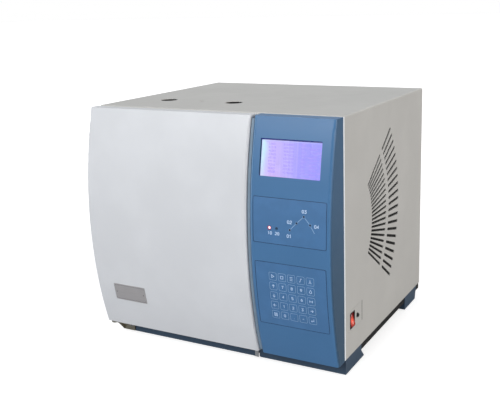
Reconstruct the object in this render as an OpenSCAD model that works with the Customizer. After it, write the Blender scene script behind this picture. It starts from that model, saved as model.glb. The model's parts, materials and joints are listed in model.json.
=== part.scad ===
// Bench-top gas chromatograph: column oven with a swinging door, curved control panel,
// injection port and detector above the oven, electronics bay on the right.
// Shared measures are taken from the case: x from its left side, y from its front plane
// to the back, z from the lower edge of the cover. placed() moves them to the part's frame.

/* [Case] */
// Width of the cover
case_w = 540; // [510:5:600]
// Depth from the front plane to the rear panel
case_d = 455; // [440:5:520]
// Height of the cover
cover_h = 461; // [455:1:500]
// Height of the cover's lower edge above the bench
base_h = 33; // [30:1:45]
// Sheet thickness of cover, frame and panels
sheet_t = 1.2; // [0.8:0.1:1.5]
// Outer radius of the long top bends
bend_r = 3; // [2:0.5:8]
// Radius of the rolled front edge of the cover
front_edge_r = 7; // [4:0.5:10]
// Width of the inward return at the cover's front
front_return = 12; // [9:0.5:13]
// Height of the base tray's rim
tray_h = 14; // [10:0.2:16]

/* [Curved front] */
// Radius of the curved face of door and control panel
front_r = 840; // [780:10:1200]
// How far the curved face stands in front of the case
bulge = 59.5; // [54:0.5:64]
// Height of the most forward line of the curved face
bulge_z = 228; // [220:1:240]
// Width of the door
door_w = 371; // [365:1:374]
// Gap between door and control panel
panel_gap = 7; // [4:0.5:9]
// Step from the cover's top down to the top of door and control panel
face_drop = 1; // [0.5:0.5:3]
// Space between the closed door and the case
door_back_gap = 5; // [4.5:0.1:6]
// Edge radius of the door
face_edge_r = 4; // [3:0.5:6]
// Edge radius of the control panel
panel_edge_r = 6.5; // [4:0.5:7]
// Skin thickness of door and control panel
skin_t = 1.5; // [1.2:0.1:2.2]

/* [Door hinge] */
// Pivot distance from the door's left edge
pivot_x = 12; // [11:0.5:13]
// Pivot distance in front of the case
pivot_y = 18; // [17.5:0.5:19]
// Radius of the hinge pins
pin_r = 4; // [3:0.5:4.5]
// Radial clearance of a turning pin in its bush
running_clearance = 0.05; // [0.02:0.01:0.1]
// Thickness of the hinge brackets
bracket_t = 3; // [2:0.5:4]

/* [Oven] */
// Oven opening from the case's left side
oven_x = 45; // [43:1:48]
// Oven opening above the cover's lower edge
oven_z = 52; // [48:1:56]
// Width of the oven chamber
oven_w = 280; // [270:1:282]
// Height of the oven chamber
oven_h = 270; // [262:1:274]
// Depth of the oven chamber from the front plane
oven_d = 238; // [232:1:245]
// Thickness of the oven insulation
insulation_t = 28; // [24:1:28]
// Sheet thickness of the oven liner and its outer shell
liner_t = 0.8; // [0.6:0.1:1]
// How far the door's plug reaches behind the front plane
plug_depth = 18; // [12:1:20]
// Radius of the stirring fan
oven_fan_r = 75; // [60:1:78]
// Number of stirring fan blades
oven_fan_blades = 12; // [8:1:16]
// Radius of the fan shaft
shaft_r = 4; // [3:0.5:5]
// Radius of the heater coil's rings
heater_ring_r = 95; // [88:1:105]

/* [Column] */
// Outer radius of the column tube
column_r = 1.6; // [1.2:0.1:2]
// Number of turns of the column
column_turns = 7; // [4:1:9]
// Spacing of the turns
column_pitch = 2.8; // [2.7:0.1:3.2]

/* [Ports in the top] */
// Injection port from the case's left side
injector_x = 92.5; // [88:0.5:98]
// Detector from the case's left side
detector_x = 252; // [246:1:260]
// Both ports from the front plane
port_y = 115; // [108:1:122]
// Radius of the two access holes in the cover
access_r = 18; // [15:0.5:20]
// Radius of the small hole between them
vent_hole_r = 5.5; // [4:0.5:7]

/* [Oven vent] */
// Inner radius of the vent ducts
duct_r = 26; // [22:0.5:28]
// Distance of the ducts from the oven's right, lower and upper walls
duct_inset = 35; // [33:1:38]
// Radial play of the flaps in their ducts
flap_play = 0.5; // [0.4:0.1:1]

/* [Control panel] */
// Width of the display window
window_w = 120.5; // [100:0.5:124]
// Height of the display window
window_h = 67.5; // [56:0.5:70]
// Height of the display window's middle
window_z = 389; // [382:0.5:392]
// Distance of the display window's middle to the left of the panel's middle
window_left = 2.2; // [0:0.1:4]
// Distance of the status film from the panel's sides
status_side = 8; // [6:0.5:14]
// Height of the status film
status_h = 85; // [70:1:88]
// Height of the status film's middle
status_z = 276.4; // [272:0.2:280]
// Distance of the keypad film from the panel's sides
keypad_side = 9.5; // [6:0.5:14]
// Height of the keypad film
keypad_h = 127; // [115:1:135]
// Height of the keypad film's middle
keypad_z = 134.5; // [128:0.5:140]
// Rows and columns of keys
key_count = 5; // [4:1:5]
// Spacing of the keys in a row
key_pitch = 18.8; // [17:0.1:20]
// Spacing of the rows of keys
row_pitch = 19.4; // [17:0.1:20]
// Distance of the keys' middle to the right of the film's middle
keys_right = 1.8; // [0:0.1:3]
// Distance of the keys' middle below the film's middle
keys_down = 2; // [0:0.1:4]
// Size of a key
key_size = 13.5; // [12:0.5:16]
// Thickness of the printed films
film_t = 0.5; // [0.4:0.1:0.8]

/* [Side vents] */
// Centre of the slot fan behind the front plane
slots_y = 26.4; // [20:0.2:34]
// Height of the slot fan's centre
slots_z = 243.7; // [236:0.1:250]
// Slots in each ring
slot_count = 21; // [9:1:21]
// Angle between slots
slot_step = 3.57; // [3:0.01:3.8]
// Lowest slot's angle
slot_from = -35; // [-36:1:-30]
// Width of the inner slots
inner_slot_w = 3.2; // [2:0.1:4]
// Width of the outer slots
outer_slot_w = 4.2; // [2.5:0.1:5.5]

/* [Power switch] */
// Middle of the switch behind the front plane
switch_y = 37.5; // [36:0.5:39]
// Height of the switch's middle
switch_z = 69; // [66:0.5:74]
// Width of the rocker
rocker_w = 19; // [16:0.5:21]
// Height of the rocker
rocker_h = 26.6; // [24:0.2:28]
// Half of the rocker's travel
rocker_tilt = 10; // [6:1:12]
// Middle of the fuse cap behind the front plane
fuse_y = 63; // [61:0.1:68]

/* [Rear fittings] */
// Radius of the gas inlet stubs
gas_stub_r = 4; // [3:0.5:5]
// Length of the gas inlet stubs
gas_stub_l = 12; // [8:0.5:16]
// Spacing of the gas inlets
gas_pitch = 45; // [36:1:50]
// Side of the cooling fan's frame
cooler_w = 92; // [80:1:92]
// Depth of the cooling fan's frame
cooler_d = 25; // [20:1:32]

/* [Hidden] */
$fn = 64;
arc_fn = 720;

seat = 0.1;          // face to face play of fixed pieces
play = 0.3;          // play round fixed inserts and beside moving pieces
cut = 1;             // how far a cutting body runs past a face

rocker_out = 3;      // reach of the rocker and the fuse cap past the side
rear_out = gas_stub_l + 8.5;
front_y = -(bulge + case_d + rear_out) / 2 + bulge;
left_x = -(case_w + rocker_out) / 2;

frame_y = sheet_t + seat;                      // front of the inner frame
frame_back = frame_y + sheet_t;
inner_x0 = sheet_t + play;                     // inner sheets clear the cover's sides
inner_x1 = case_w - inner_x0;
inner_top = cover_h - sheet_t - play;
face_top = cover_h - face_drop;
panel_x = door_w + panel_gap;
panel_w = case_w - panel_x;
panel_mid = panel_x + panel_w / 2;
status_w = panel_w - 2 * status_side;
keypad_w = panel_w - 2 * keypad_side;
rear_in = case_d - sheet_t;

tray_x = 1.6;
tray_y = frame_back + 3.9;
tray_t = 1.2;
tray_floor = -tray_h + tray_t;
pad_h = 3;
bar_z = pad_h - base_h;                        // underside of the foot bars
bar_t = 1.4;

shell_x0 = oven_x - insulation_t - liner_t - 2 * seat;
shell_x1 = oven_x + oven_w + insulation_t + liner_t + 2 * seat;
shell_z0 = oven_z - insulation_t - liner_t - 2 * seat;
shell_z1 = oven_z + oven_h + insulation_t + liner_t + 2 * seat;
shell_y0 = frame_back + liner_t + 3 * seat;
shell_y1 = oven_d + insulation_t + liner_t + 2 * seat;
oven_mid_x = oven_x + oven_w / 2;
oven_mid_z = oven_z + oven_h / 2;
partition_x = shell_x1 + 1.4;

fan_y = oven_d - 33;                           // front of the stirring fan
fan_hub_r = 14;
fan_depth = 24;
baffle_y = fan_y - 9;
motor_r = 42;
motor_l = 60;
motor_y = shell_y1 + 24;
motor_plate_w = 110;

duct_x = oven_x + oven_w - duct_inset;
duct_zs = [oven_z + duct_inset + 20, oven_z + oven_h - duct_inset - 20];
duct_t = 1;
flap_y = shell_y1 + 34;
flap_shaft_r = 3;
flap_motor_w = 42;
flap_motor_z = duct_zs[1] + duct_r + duct_t + 4;

coil_r = (detector_x - injector_x) / 2 - 0.8;
coil_x = (detector_x + injector_x) / 2;
coil_z = oven_mid_z;
port_z0 = oven_z + oven_h - 22;                // lower end of the port fittings
injector_r = 9;
injector_top = shell_z1 + 78;
block_w = 44;
block_h = 50;
gas_z = shell_z1 + liner_t + 4 + block_h + 6;
detector_r = 15;
probe_x = oven_x + oven_w - 30;
probe_y = 160;
probe_r = 2;

manifold_x = 40;
manifold_w = 140;
manifold_d = 40;
manifold_h = 34;
manifold_z = gas_z - 22;
line_r = 1.5;

plug_x0 = oven_x + 4;
plug_x1 = oven_x + oven_w - 8;
plug_z0 = oven_z + 4;
plug_z1 = oven_z + oven_h - 4;
liner_x0 = 28;
bracket_x0 = 16;                               // flange of the lower hinge bracket
bracket_x1 = 46;
tab_x0 = door_w - 25;                          // tab of the frame between door and foot
tab_x1 = door_w - 17;
liner_x1 = door_w - skin_t - play;
liner_z0 = 26;
liner_z1 = 430;
gasket_w = 9;
gasket_side = 12;                              // from the plug to the gasket at its sides
gasket_end = 10;                               // above and below the plug

tongue_z = 444;                                // underside of the upper hinge bracket
bush_w = 13;
bush_h = 18;
catch_z = oven_mid_z;
catch_h = 44;
catch_w = 10;
catch_x = (plug_x1 + gasket_side + gasket_w + liner_x1 - catch_w) / 2;

window_x = panel_mid - window_left;
window_a = asin((window_z - bulge_z) / front_r);
window_seat = skin_t + 1.35;
window_t = 2;
glass_t = 3;
board_w = panel_w - 2 * skin_t - 15;           // board of the display module
board_h = window_h + 36.5;
board_t = 1.6;
boss_r = 5;                                    // screw bosses along the panel's sides
boss_in = boss_r + skin_t + 2.5;
boss_zs = [20, bulge_z - 2, face_top - 12];
post_r = 3.5;                                  // posts of the key and lamp board
panel_board_y = -38;
panel_board_x = panel_w / 2 - boss_in - boss_r - 1;
panel_board_z0 = keypad_z - keypad_h / 2 + 4;
panel_board_z1 = window_z - board_h / 2 - 25.5;
key_tail_z = keypad_z - keypad_h / 2 + 12;     // where the film's tail goes in
lamp_xs = [-39.3, -24.5];                      // lamps from the panel's middle
lamp_z = 263.4;
lamp_r = 2.5;

plate_y0 = switch_y - 23.5;
plate_y1 = switch_y + 46.4;
plate_z0 = switch_z - 20.5;
plate_z1 = switch_z + 20.5;
plate_r = 4;
pivot_in = 5;                                  // rocker pivot below the side's face
rocker_room = 1.1;                             // free height above and below the rocker
body_depth = 24;
body_wall = 1;
bezel_w = 1.4;                                 // rim of the switch body on the plate
fuse_r = 3.2;

main_board_x = partition_x + sheet_t + 8 + seat;
board_setback = 57.5;
main_board_y = frame_back + board_setback;
main_board_z = 120;
main_board_w = 200;
main_board_h = 260;
chip_w = 36;
chip_h = 5;
chip_ys = [60, 115];                           // chips from the board's lower front corner
chip_zs = [40, 130];
can_r = 8;                                     // capacitors along the board's rear edge
can_h = 26;
can_y = main_board_w - 20;
can_zs = [30, 80, 130, 180];
strip_h = 30;                                  // terminal strips along the front edge
strip_zs = [30, 75, 120, 165, 210];

transformer_w = 84;
transformer_d = 42;
transformer_h = 70;
limb_w = transformer_w / 6;                    // outer limbs of the laminated core
transformer_in = 60;                           // from the partition
transformer_front = 160;                       // from the rear of the case

cooler_in = 95;                                // fan's middle from the right side and the top
cooler_down = 160;
cooler_x = case_w - cooler_in;
cooler_z = cover_h - cooler_down;
cooler_hub_r = 17;
inlet_x = case_w - 70;
inlet_z = 62;
signal_x = partition_x + 60;
signal_z = 150;
gas_xs = [for (i = [0 : 2]) manifold_x + 25 + i * gas_pitch];

// ---------- shared shapes ----------

module placed() {
    translate([left_x, front_y, base_h]) children();
}

module block(x0, x1, y0, y1, z0, z1) {
    translate([x0, y0, z0]) cube([x1 - x0, y1 - y0, z1 - z0]);
}

module rod_x(y, z, r, x0, x1) {
    translate([x0, y, z]) rotate([0, 90, 0]) cylinder(r = r, h = x1 - x0);
}

module rod_y(x, z, r, y0, y1) {
    translate([x, y1, z]) rotate([90, 0, 0]) cylinder(r = r, h = y1 - y0);
}

module rod_z(x, y, r, z0, z1) {
    translate([x, y, z0]) cylinder(r = r, h = z1 - z0);
}

// Rectangle with round corners, from its lower left corner
module round_rect(w, h, r) {
    translate([r, 0]) square([w - 2 * r, h]);
    translate([0, r]) square([w, h - 2 * r]);
    for (x = [r, w - r], y = [r, h - r]) translate([x, y]) circle(r);
}

// Slab with round corners that faces the front, given by its middle
module front_slab(x, z, w, h, r, y0, y1) {
    translate([x - w / 2, y1, z - h / 2]) rotate([90, 0, 0])
        linear_extrude(y1 - y0) round_rect(w, h, r);
}

// Slab with round corners that faces the side, given by its limits
module side_slab(y0, y1, z0, z1, r, x0, x1) {
    translate([x0, y0, z0]) rotate([90, 0, 90])
        linear_extrude(x1 - x0) round_rect(y1 - y0, z1 - z0, r);
}

// Straight tube piece between two points, with a round knuckle at the first
module run(p, q, r) {
    d = q - p;
    len = norm(d);
    translate(p) rotate([0, acos(d[2] / len), atan2(d[1], d[0])]) cylinder(r = r, h = len);
}

module path(points, r) {
    for (i = [0 : len(points) - 2]) run(points[i], points[i + 1], r);
    for (i = [1 : len(points) - 2]) translate(points[i]) sphere(r);
}

// Ring of the curved front between two sides, with round front edges
module curved_ring(x0, x1, r, depth, edge) {
    translate([0, front_r - bulge, bulge_z]) rotate([0, 90, 0]) rotate_extrude($fn = arc_fn) {
        translate([r - depth, x0]) square([depth - edge, x1 - x0]);
        translate([r - depth, x0 + edge]) square([depth, x1 - x0 - 2 * edge]);
        for (x = [x0 + edge, x1 - edge]) translate([r - edge, x]) circle(edge);
    }
}

// Solid with the curved front, cut off at its top, underside and back
module curved_block(x0, x1, z0, z1, y1, r, edge) {
    intersection() {
        curved_ring(x0, x1, r, 90, edge);
        block(x0 - cut, x1 + cut, -bulge - cut, y1, z0, z1);
    }
}

// Thin layer that follows the curved front inside a round-cornered outline
module curved_film(x, z, w, h, r, outer, t) {
    intersection() {
        curved_ring(x - w, x + w, outer, t, min(t, 0.2));
        front_slab(x, z, w, h, r, -bulge - 5, 0);
    }
}

// Children stand on the curved face at a height: y points inward, z up along the face
module on_face(x, angle) {
    translate([x, front_r - bulge, bulge_z]) rotate([-angle, 0, 0])
        translate([0, -front_r, 0]) children();
}

// ---------- base and case ----------

module base_tray() {
    color("dimgray") placed() difference() {
        block(tray_x, case_w - tray_x, tray_y, rear_in - 2 * seat, -tray_h, -seat);
        block(tray_x + tray_t, case_w - tray_x - tray_t, tray_y + tray_t,
            rear_in - 2 * seat - tray_t, tray_floor, cut);
        // Air slots under the electronics bay
        for (i = [0 : 7])
            block(partition_x + 50, case_w - 50, 120 + i * 12, 124 + i * 12, -tray_h - cut, 0);
    }
}

// Formed foot across the whole width, open above for the tray
module foot_bar(outline, hollow, tray_from) {
    difference() {
        rotate([90, 0, 90]) linear_extrude(case_w) polygon(outline);
        translate([bar_t, 0, 0]) rotate([90, 0, 90])
            linear_extrude(case_w - 2 * bar_t) polygon(hollow);
        block(bar_t, case_w - bar_t, tray_from, outline[2][0] + cut, -tray_h - seat, cut);
    }
}

module foot_bars() {
    front_a = tray_y - seat - bar_t;
    front_b = 98;
    lean = 14;
    rear_a = case_d - 105;
    rear_b = case_d - 31;
    color("steelblue") placed() {
        difference() {
            foot_bar(
                [[front_a, bar_z], [front_b, bar_z], [front_b - lean, -tray_h - seat],
                    [front_b - lean, -play], [front_a, -play]],
                [[front_a + bar_t, bar_z + bar_t], [front_b - 2 * bar_t, bar_z + bar_t],
                    [front_b - lean - bar_t, -tray_h], [front_b - lean - bar_t, cut],
                    [front_a + bar_t, cut]], front_a + bar_t);
            // Room for the lower hinge bracket and the frame's tab
            block(-cut, bracket_x1 + 1, -cut, 20, bar_z - cut, cut);
            block(tab_x0 - 1, tab_x1 + 2.5, -cut, 20, bar_z - cut, cut);
        }
        foot_bar(
            [[rear_a, bar_z], [rear_b, bar_z], [rear_b + 8, -play * 10], [rear_b + 8, -play],
                [rear_a, -play]],
            [[rear_a + bar_t, bar_z + bar_t], [rear_b - bar_t, bar_z + bar_t],
                [rear_b + 8 - bar_t, -play * 10], [rear_b + 8 - bar_t, cut], [rear_a + bar_t, cut]],
            rear_a - cut);
    }
}

module foot_pads() {
    color([0.1, 0.1, 0.1]) placed()
        for (x = [40, case_w - 40], y = [52, case_d - 68])
            rod_z(x, y, 14, -base_h, bar_z);
}

module front_frame() {
    depth = 11;
    color("silver") placed() {
        difference() {
            intersection() {
                cover_form(frame_y, case_d, 0);
                block(0, case_w, 0, frame_back + depth, play, cover_h);
            }
            cover_form(frame_back, case_d, play + sheet_t);
            block(oven_x - cut, oven_x + oven_w + cut, 0, frame_back + cut,
                oven_z - cut, oven_z + oven_h + cut);
            // Service opening behind the control panel
            front_slab(panel_mid, cover_h / 2, 134, cover_h - 100, 8, 0, frame_back + cut);
            // Slot for the upper hinge bracket
            block(pivot_x + 1.5, pivot_x + 33, 0, frame_back + cut,
                tongue_z - seat, tongue_z + bracket_t + seat);
        }
        block(tab_x0, tab_x1, frame_y, frame_back, bar_z + 1, play + sheet_t);
    }
}

module partition() {
    color("silver") placed() {
        block(partition_x, partition_x + sheet_t, frame_back + 16, rear_in - 14,
            tray_floor + seat, inner_top - sheet_t - seat);
        block(partition_x, partition_x + 14, frame_back + 16, rear_in - 14,
            tray_floor + seat, tray_floor + seat + sheet_t);
        for (y = [10, main_board_w - 10], z = [10, main_board_h - 10])
            rod_x(main_board_y + y, main_board_z + z, 3, partition_x + sheet_t, main_board_x - seat);
    }
}

module rear_panel() {
    color("gainsboro") placed() difference() {
        intersection() {
            cover_form(inner_x0, case_d, -tray_h);
            difference() {
                block(0, case_w, rear_in - 13, case_d, -tray_h, cover_h);
                block(inner_x0 + sheet_t, inner_x1 - sheet_t, 0, rear_in, -tray_h - cut,
                    inner_top - sheet_t);
                block(0, case_w, 0, rear_in, -tray_h - cut, cut);
            }
        }
        for (z = duct_zs) rod_y(duct_x, z, duct_r, rear_in - cut, case_d + cut);
        rod_y(cooler_x, cooler_z, cooler_w / 2 - 3, rear_in - cut, case_d + cut);
        for (x = gas_xs) rod_y(x, manifold_z + 12, gas_stub_r + 1 + seat, rear_in - cut, case_d + cut);
        front_slab(inlet_x, inlet_z, 29, 23, 2, rear_in - cut, case_d + cut);
        front_slab(signal_x, signal_z, 21, 12, 2, rear_in - cut, case_d + cut);
    }
}

// Solid envelope of the cover, set in by g on every closed side
module cover_form(g, y1, z0) {
    intersection() {
        translate([0, y1, 0]) rotate([90, 0, 0]) linear_extrude(y1 + cut)
            translate([g, z0 - 20]) round_rect(case_w - 2 * g, cover_h - g - z0 + 20, bend_r - g);
        translate([0, 0, z0]) linear_extrude(cover_h - z0 + cut)
            translate([g, g]) round_rect(case_w - 2 * g, y1 + 20, front_edge_r - g);
        rotate([90, 0, 90]) linear_extrude(case_w)
            translate([g, z0 - 20]) round_rect(y1 + 20, cover_h - g - z0 + 20, front_edge_r - g);
    }
}

// Ring of radial slots through the right side
module slot_ring(r0, r1, w) {
    for (i = [0 : slot_count - 1])
        translate([case_w - sheet_t - cut, slots_y, slots_z])
            rotate([slot_from + i * slot_step, 0, 0]) {
                translate([0, r0, -w / 2]) cube([sheet_t + 2 * cut, r1 - r0, w]);
                for (r = [r0, r1]) translate([0, r, 0]) rotate([0, 90, 0])
                    cylinder(r = w / 2, h = sheet_t + 2 * cut, $fn = 24);
            }
}

module outer_cover() {
    color("gainsboro") placed() difference() {
        cover_form(0, case_d, 0);
        cover_form(sheet_t, case_d + cut, -cut);
        block(front_return, case_w - front_return, -cut, sheet_t + cut, -cut,
            cover_h - front_return);
        for (x = [injector_x, detector_x])
            rod_z(x, port_y, access_r, cover_h - 2 * sheet_t, cover_h + cut);
        rod_z((injector_x + detector_x) / 2 + 3, port_y, vent_hole_r,
            cover_h - 2 * sheet_t, cover_h + cut);
        slot_ring(116, 193, inner_slot_w);
        slot_ring(212, 267, outer_slot_w);
        side_slab(plate_y0, plate_y1, plate_z0, plate_z1, plate_r, case_w - 2 * sheet_t,
            case_w + cut);
    }
}

// ---------- oven ----------

// Everything that passes through the oven's walls, with play g round it
module oven_passages(g) {
    rod_z(injector_x, port_y, injector_r + g, port_z0 - 20, shell_z1 + 10);
    rod_z(detector_x, port_y, injector_r + g, port_z0 - 20, shell_z1 + 10);
    rod_z(probe_x, probe_y, probe_r + g, port_z0 - 20, shell_z1 + 10);
    rod_y(oven_mid_x, oven_mid_z, shaft_r + 4 + g, oven_d - 10, shell_y1 + 10);
}

module duct_passages(g) {
    for (z = duct_zs) rod_y(duct_x, z, duct_r + duct_t + g, oven_d - 10, shell_y1 + 10);
}

module oven_shell() {
    color("lightgray") placed() {
        difference() {
            block(shell_x0 - liner_t, shell_x1 + liner_t, shell_y0, shell_y1 + liner_t,
                shell_z0 - liner_t, shell_z1 + liner_t);
            block(shell_x0, shell_x1, shell_y0 - cut, shell_y1, shell_z0, shell_z1);
            oven_passages(play);
            duct_passages(play);
        }
        // Hat rails that stand on the tray
        for (y = [60, shell_y1 - 60]) difference() {
            block(shell_x0 + 10, shell_x1 - 10, y - 15, y + 15, tray_floor + seat,
                shell_z0 - liner_t + seat);
            block(shell_x0, shell_x1, y - 13, y + 13, 0, shell_z0 - liner_t - 2);
            block(shell_x0, shell_x1, y - 13, y + 13, tray_floor - cut, 0.1);
        }
    }
}

module oven_insulation() {
    color("ivory") placed() difference() {
        block(shell_x0 + seat, shell_x1 - seat, shell_y0, shell_y1 - seat,
            shell_z0 + seat, shell_z1 - seat);
        block(oven_x - liner_t - seat, oven_x + oven_w + liner_t + seat, shell_y0 - cut,
            oven_d + liner_t + seat, oven_z - liner_t - seat, oven_z + oven_h + liner_t + seat);
        oven_passages(play);
        duct_passages(play);
    }
}

module oven_liner() {
    lip = 11;
    color("lightsteelblue") placed() difference() {
        union() {
            block(oven_x - liner_t, oven_x + oven_w + liner_t, frame_back + seat, oven_d + liner_t,
                oven_z - liner_t, oven_z + oven_h + liner_t);
            block(oven_x - lip, oven_x + oven_w + lip, frame_back + seat,
                frame_back + seat + liner_t, oven_z - lip, oven_z + oven_h + lip);
        }
        block(oven_x, oven_x + oven_w, 0, oven_d, oven_z, oven_z + oven_h);
        oven_passages(play);
        for (z = duct_zs) rod_y(duct_x, z, duct_r, oven_d - cut, oven_d + 2);
    }
}

module fan_baffle() {
    w = oven_w - 24;
    h = oven_h - 24;
    color("silver") placed() {
        difference() {
            front_slab(oven_mid_x, oven_mid_z, w, h, 6, baffle_y, baffle_y + 1);
            // Round inlet before the fan, and a grid of outlet slots round the rim
            rod_y(oven_mid_x, oven_mid_z, oven_fan_r - 28, baffle_y - cut, baffle_y + 2);
            for (s = [-1, 1], i = [-4 : 4]) {
                front_slab(oven_mid_x + s * (w / 2 - 16), oven_mid_z + i * 24, 6, 16, 2.9,
                    baffle_y - cut, baffle_y + 2);
                front_slab(oven_mid_x + i * 18, oven_mid_z + s * (h / 2 - 14), 12, 6, 2.9,
                    baffle_y - cut, baffle_y + 2);
            }
        }
        for (x = [-1, 1], z = [-1, 1])
            rod_y(oven_mid_x + x * (w / 2 - 10), oven_mid_z + z * (h / 2 - 10), 4,
                baffle_y + 1, oven_d - seat);
    }
}

module heater_ring(y, r) {
    translate([oven_mid_x, y, oven_mid_z]) rotate([90, 0, 0])
        rotate_extrude($fn = 96) translate([heater_ring_r, 0]) circle(r, $fn = 32);
}

module heater_coil() {
    color("dimgray") placed() for (i = [0 : 2]) heater_ring(fan_y + 4 + i * 9, 3);
}

module heater_posts() {
    color("white") placed() difference() {
        for (a = [45 : 90 : 315])
            rod_y(oven_mid_x + heater_ring_r * cos(a), oven_mid_z + heater_ring_r * sin(a), 6,
                fan_y - 2, oven_d - seat);
        for (i = [0 : 2]) heater_ring(fan_y + 4 + i * 9, 3 + seat);
    }
}

module oven_fan() {
    disc_y = fan_y + fan_depth;
    color("gray") placed() {
        rod_y(oven_mid_x, oven_mid_z, fan_hub_r, fan_y + 2, disc_y + 1);
        rod_y(oven_mid_x, oven_mid_z, oven_fan_r, disc_y, disc_y + 1.5);
        rod_y(oven_mid_x, oven_mid_z, shaft_r, fan_y, motor_y + 14);
        for (i = [0 : oven_fan_blades - 1])
            translate([oven_mid_x, disc_y + 0.5, oven_mid_z]) rotate([0, i * 360 / oven_fan_blades, 0])
                translate([oven_fan_r - 36, -fan_depth + 1, 0]) rotate([0, 28, 0])
                    translate([0, 0, -1]) cube([36, fan_depth, 1.5]);
    }
}

module oven_motor() {
    color("dimgray") placed() difference() {
        union() {
            rod_y(oven_mid_x, oven_mid_z, motor_r, motor_y + 4, motor_y + motor_l);
            rod_y(oven_mid_x, oven_mid_z, 18, motor_y - 3, motor_y + 5);
            rod_y(oven_mid_x, oven_mid_z, motor_r - 8, motor_y + motor_l - 1, motor_y + motor_l + 6);
            for (a = [45 : 90 : 315])
                rod_y(oven_mid_x + (motor_r - 4) * cos(a), oven_mid_z + (motor_r - 4) * sin(a), 6,
                    motor_y + 2, motor_y + 10);
        }
        rod_y(oven_mid_x, oven_mid_z, shaft_r + running_clearance, motor_y - 5, motor_y + 16);
    }
}

module motor_bracket() {
    color("silver") placed() {
        difference() {
            front_slab(oven_mid_x, oven_mid_z, motor_plate_w, motor_plate_w, 8,
                motor_y, motor_y + 2 - seat);
            rod_y(oven_mid_x, oven_mid_z, 18 + seat, motor_y - cut, motor_y + 3);
        }
        for (x = [-1, 1], z = [-1, 1])
            rod_y(oven_mid_x + x * (motor_plate_w / 2 - 9), oven_mid_z + z * (motor_plate_w / 2 - 9),
                5, shell_y1 + liner_t + seat, motor_y);
    }
}

module temperature_probe() {
    color("silver") placed() {
        rod_z(probe_x, probe_y, probe_r, port_z0 - 12, shell_z1 + liner_t + 4);
        rod_z(probe_x, probe_y, 5, shell_z1 + liner_t + seat, shell_z1 + liner_t + 12);
    }
}

// Coiled packed column: turns side by side, with both ends led up to the ports
module column() {
    last_y = port_y + (column_turns - 1) * column_pitch;
    color("silver") placed() {
        for (i = [0 : column_turns - 1])
            translate([coil_x, port_y + i * column_pitch, coil_z]) rotate([90, 0, 0])
                rotate_extrude($fn = 96) translate([coil_r, 0]) circle(column_r, $fn = 32);
        run([injector_x, port_y, coil_z], [injector_x, port_y, port_z0 + 6], column_r);
        path([[detector_x, last_y, coil_z], [detector_x, last_y, coil_z + 55],
            [detector_x, port_y, coil_z + 85], [detector_x, port_y, port_z0 + 6]], column_r);
    }
}

module column_nuts() {
    color("goldenrod") placed() for (x = [injector_x, detector_x]) difference() {
        translate([x, port_y, port_z0 - 12 - seat]) cylinder(r = 8, h = 12, $fn = 6);
        rod_z(x, port_y, column_r + seat, port_z0 - 14, port_z0 + cut);
    }
}

// ---------- vent ----------

module vent_ducts() {
    color("lightgray") placed() difference() {
        for (z = duct_zs) rod_y(duct_x, z, duct_r + duct_t, oven_d + liner_t + seat, rear_in - seat);
        for (z = duct_zs) rod_y(duct_x, z, duct_r, oven_d, case_d);
        rod_z(duct_x, flap_y, flap_shaft_r + running_clearance, duct_zs[0] - 40, duct_zs[1] + 40);
    }
}

module vent_flaps() {
    color("silver") placed() {
        for (z = duct_zs) rod_y(duct_x, z, duct_r - flap_play, flap_y - 0.75, flap_y + 0.75);
        rod_z(duct_x, flap_y, flap_shaft_r, duct_zs[0] - duct_r - 6, flap_motor_z + 10);
    }
}

module flap_motor() {
    half = flap_motor_w / 2;
    color("dimgray") placed() difference() {
        union() {
            block(duct_x - half, duct_x + half, flap_y - half, flap_y + half,
                flap_motor_z, flap_motor_z + 34);
            // Angle bracket to the back of the oven shell
            block(duct_x - half, duct_x + half, shell_y1 + liner_t + seat, flap_y - half + 1,
                flap_motor_z, flap_motor_z + 2);
            block(duct_x - half, duct_x + half, shell_y1 + liner_t + seat, shell_y1 + liner_t + 2,
                flap_motor_z, flap_motor_z + 22);
        }
        rod_z(duct_x, flap_y, flap_shaft_r + running_clearance, flap_motor_z - cut,
            flap_motor_z + 12);
    }
}

// ---------- injection port and detector ----------

module injector_body() {
    base_z = shell_z1 + liner_t + seat;
    color("silver") placed() difference() {
        union() {
            rod_z(injector_x, port_y, injector_r, port_z0, injector_top);
            block(injector_x - 28, injector_x + 28, port_y - 28, port_y + 28, base_z, base_z + 4);
            for (i = [0 : 3]) rod_z(injector_x, port_y, 16, gas_z + 5 + i * 3, gas_z + 6.5 + i * 3);
        }
        rod_z(injector_x, port_y, 2, port_z0 + 8, injector_top + cut);
        rod_z(injector_x, port_y, column_r + seat, port_z0 - cut, port_z0 + 9);
    }
}

module septum_nut() {
    color([0.15, 0.15, 0.16]) placed() difference() {
        union() {
            rod_z(injector_x, port_y, 12, injector_top + seat, injector_top + 9);
            rod_z(injector_x, port_y, 8, injector_top + 8, injector_top + 12);
            for (a = [0 : 20 : 340])
                rod_z(injector_x + 12 * cos(a), port_y + 12 * sin(a), 1,
                    injector_top + seat, injector_top + 9);
        }
        rod_z(injector_x, port_y, 1, injector_top - cut, injector_top + 14);
    }
}

module port_heater_blocks() {
    z0 = shell_z1 + liner_t + 4 + 2 * seat;
    color("darkgray") placed() for (x = [injector_x, detector_x]) difference() {
        block(x - block_w / 2, x + block_w / 2, port_y - block_w / 2, port_y + block_w / 2,
            z0, z0 + block_h);
        rod_z(x, port_y, injector_r + seat, z0 - cut, z0 + block_h + cut);
        for (s = [-1, 1]) rod_z(x + s * 15, port_y + 15, 3, z0 + 8, z0 + block_h + cut);
    }
}

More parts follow.
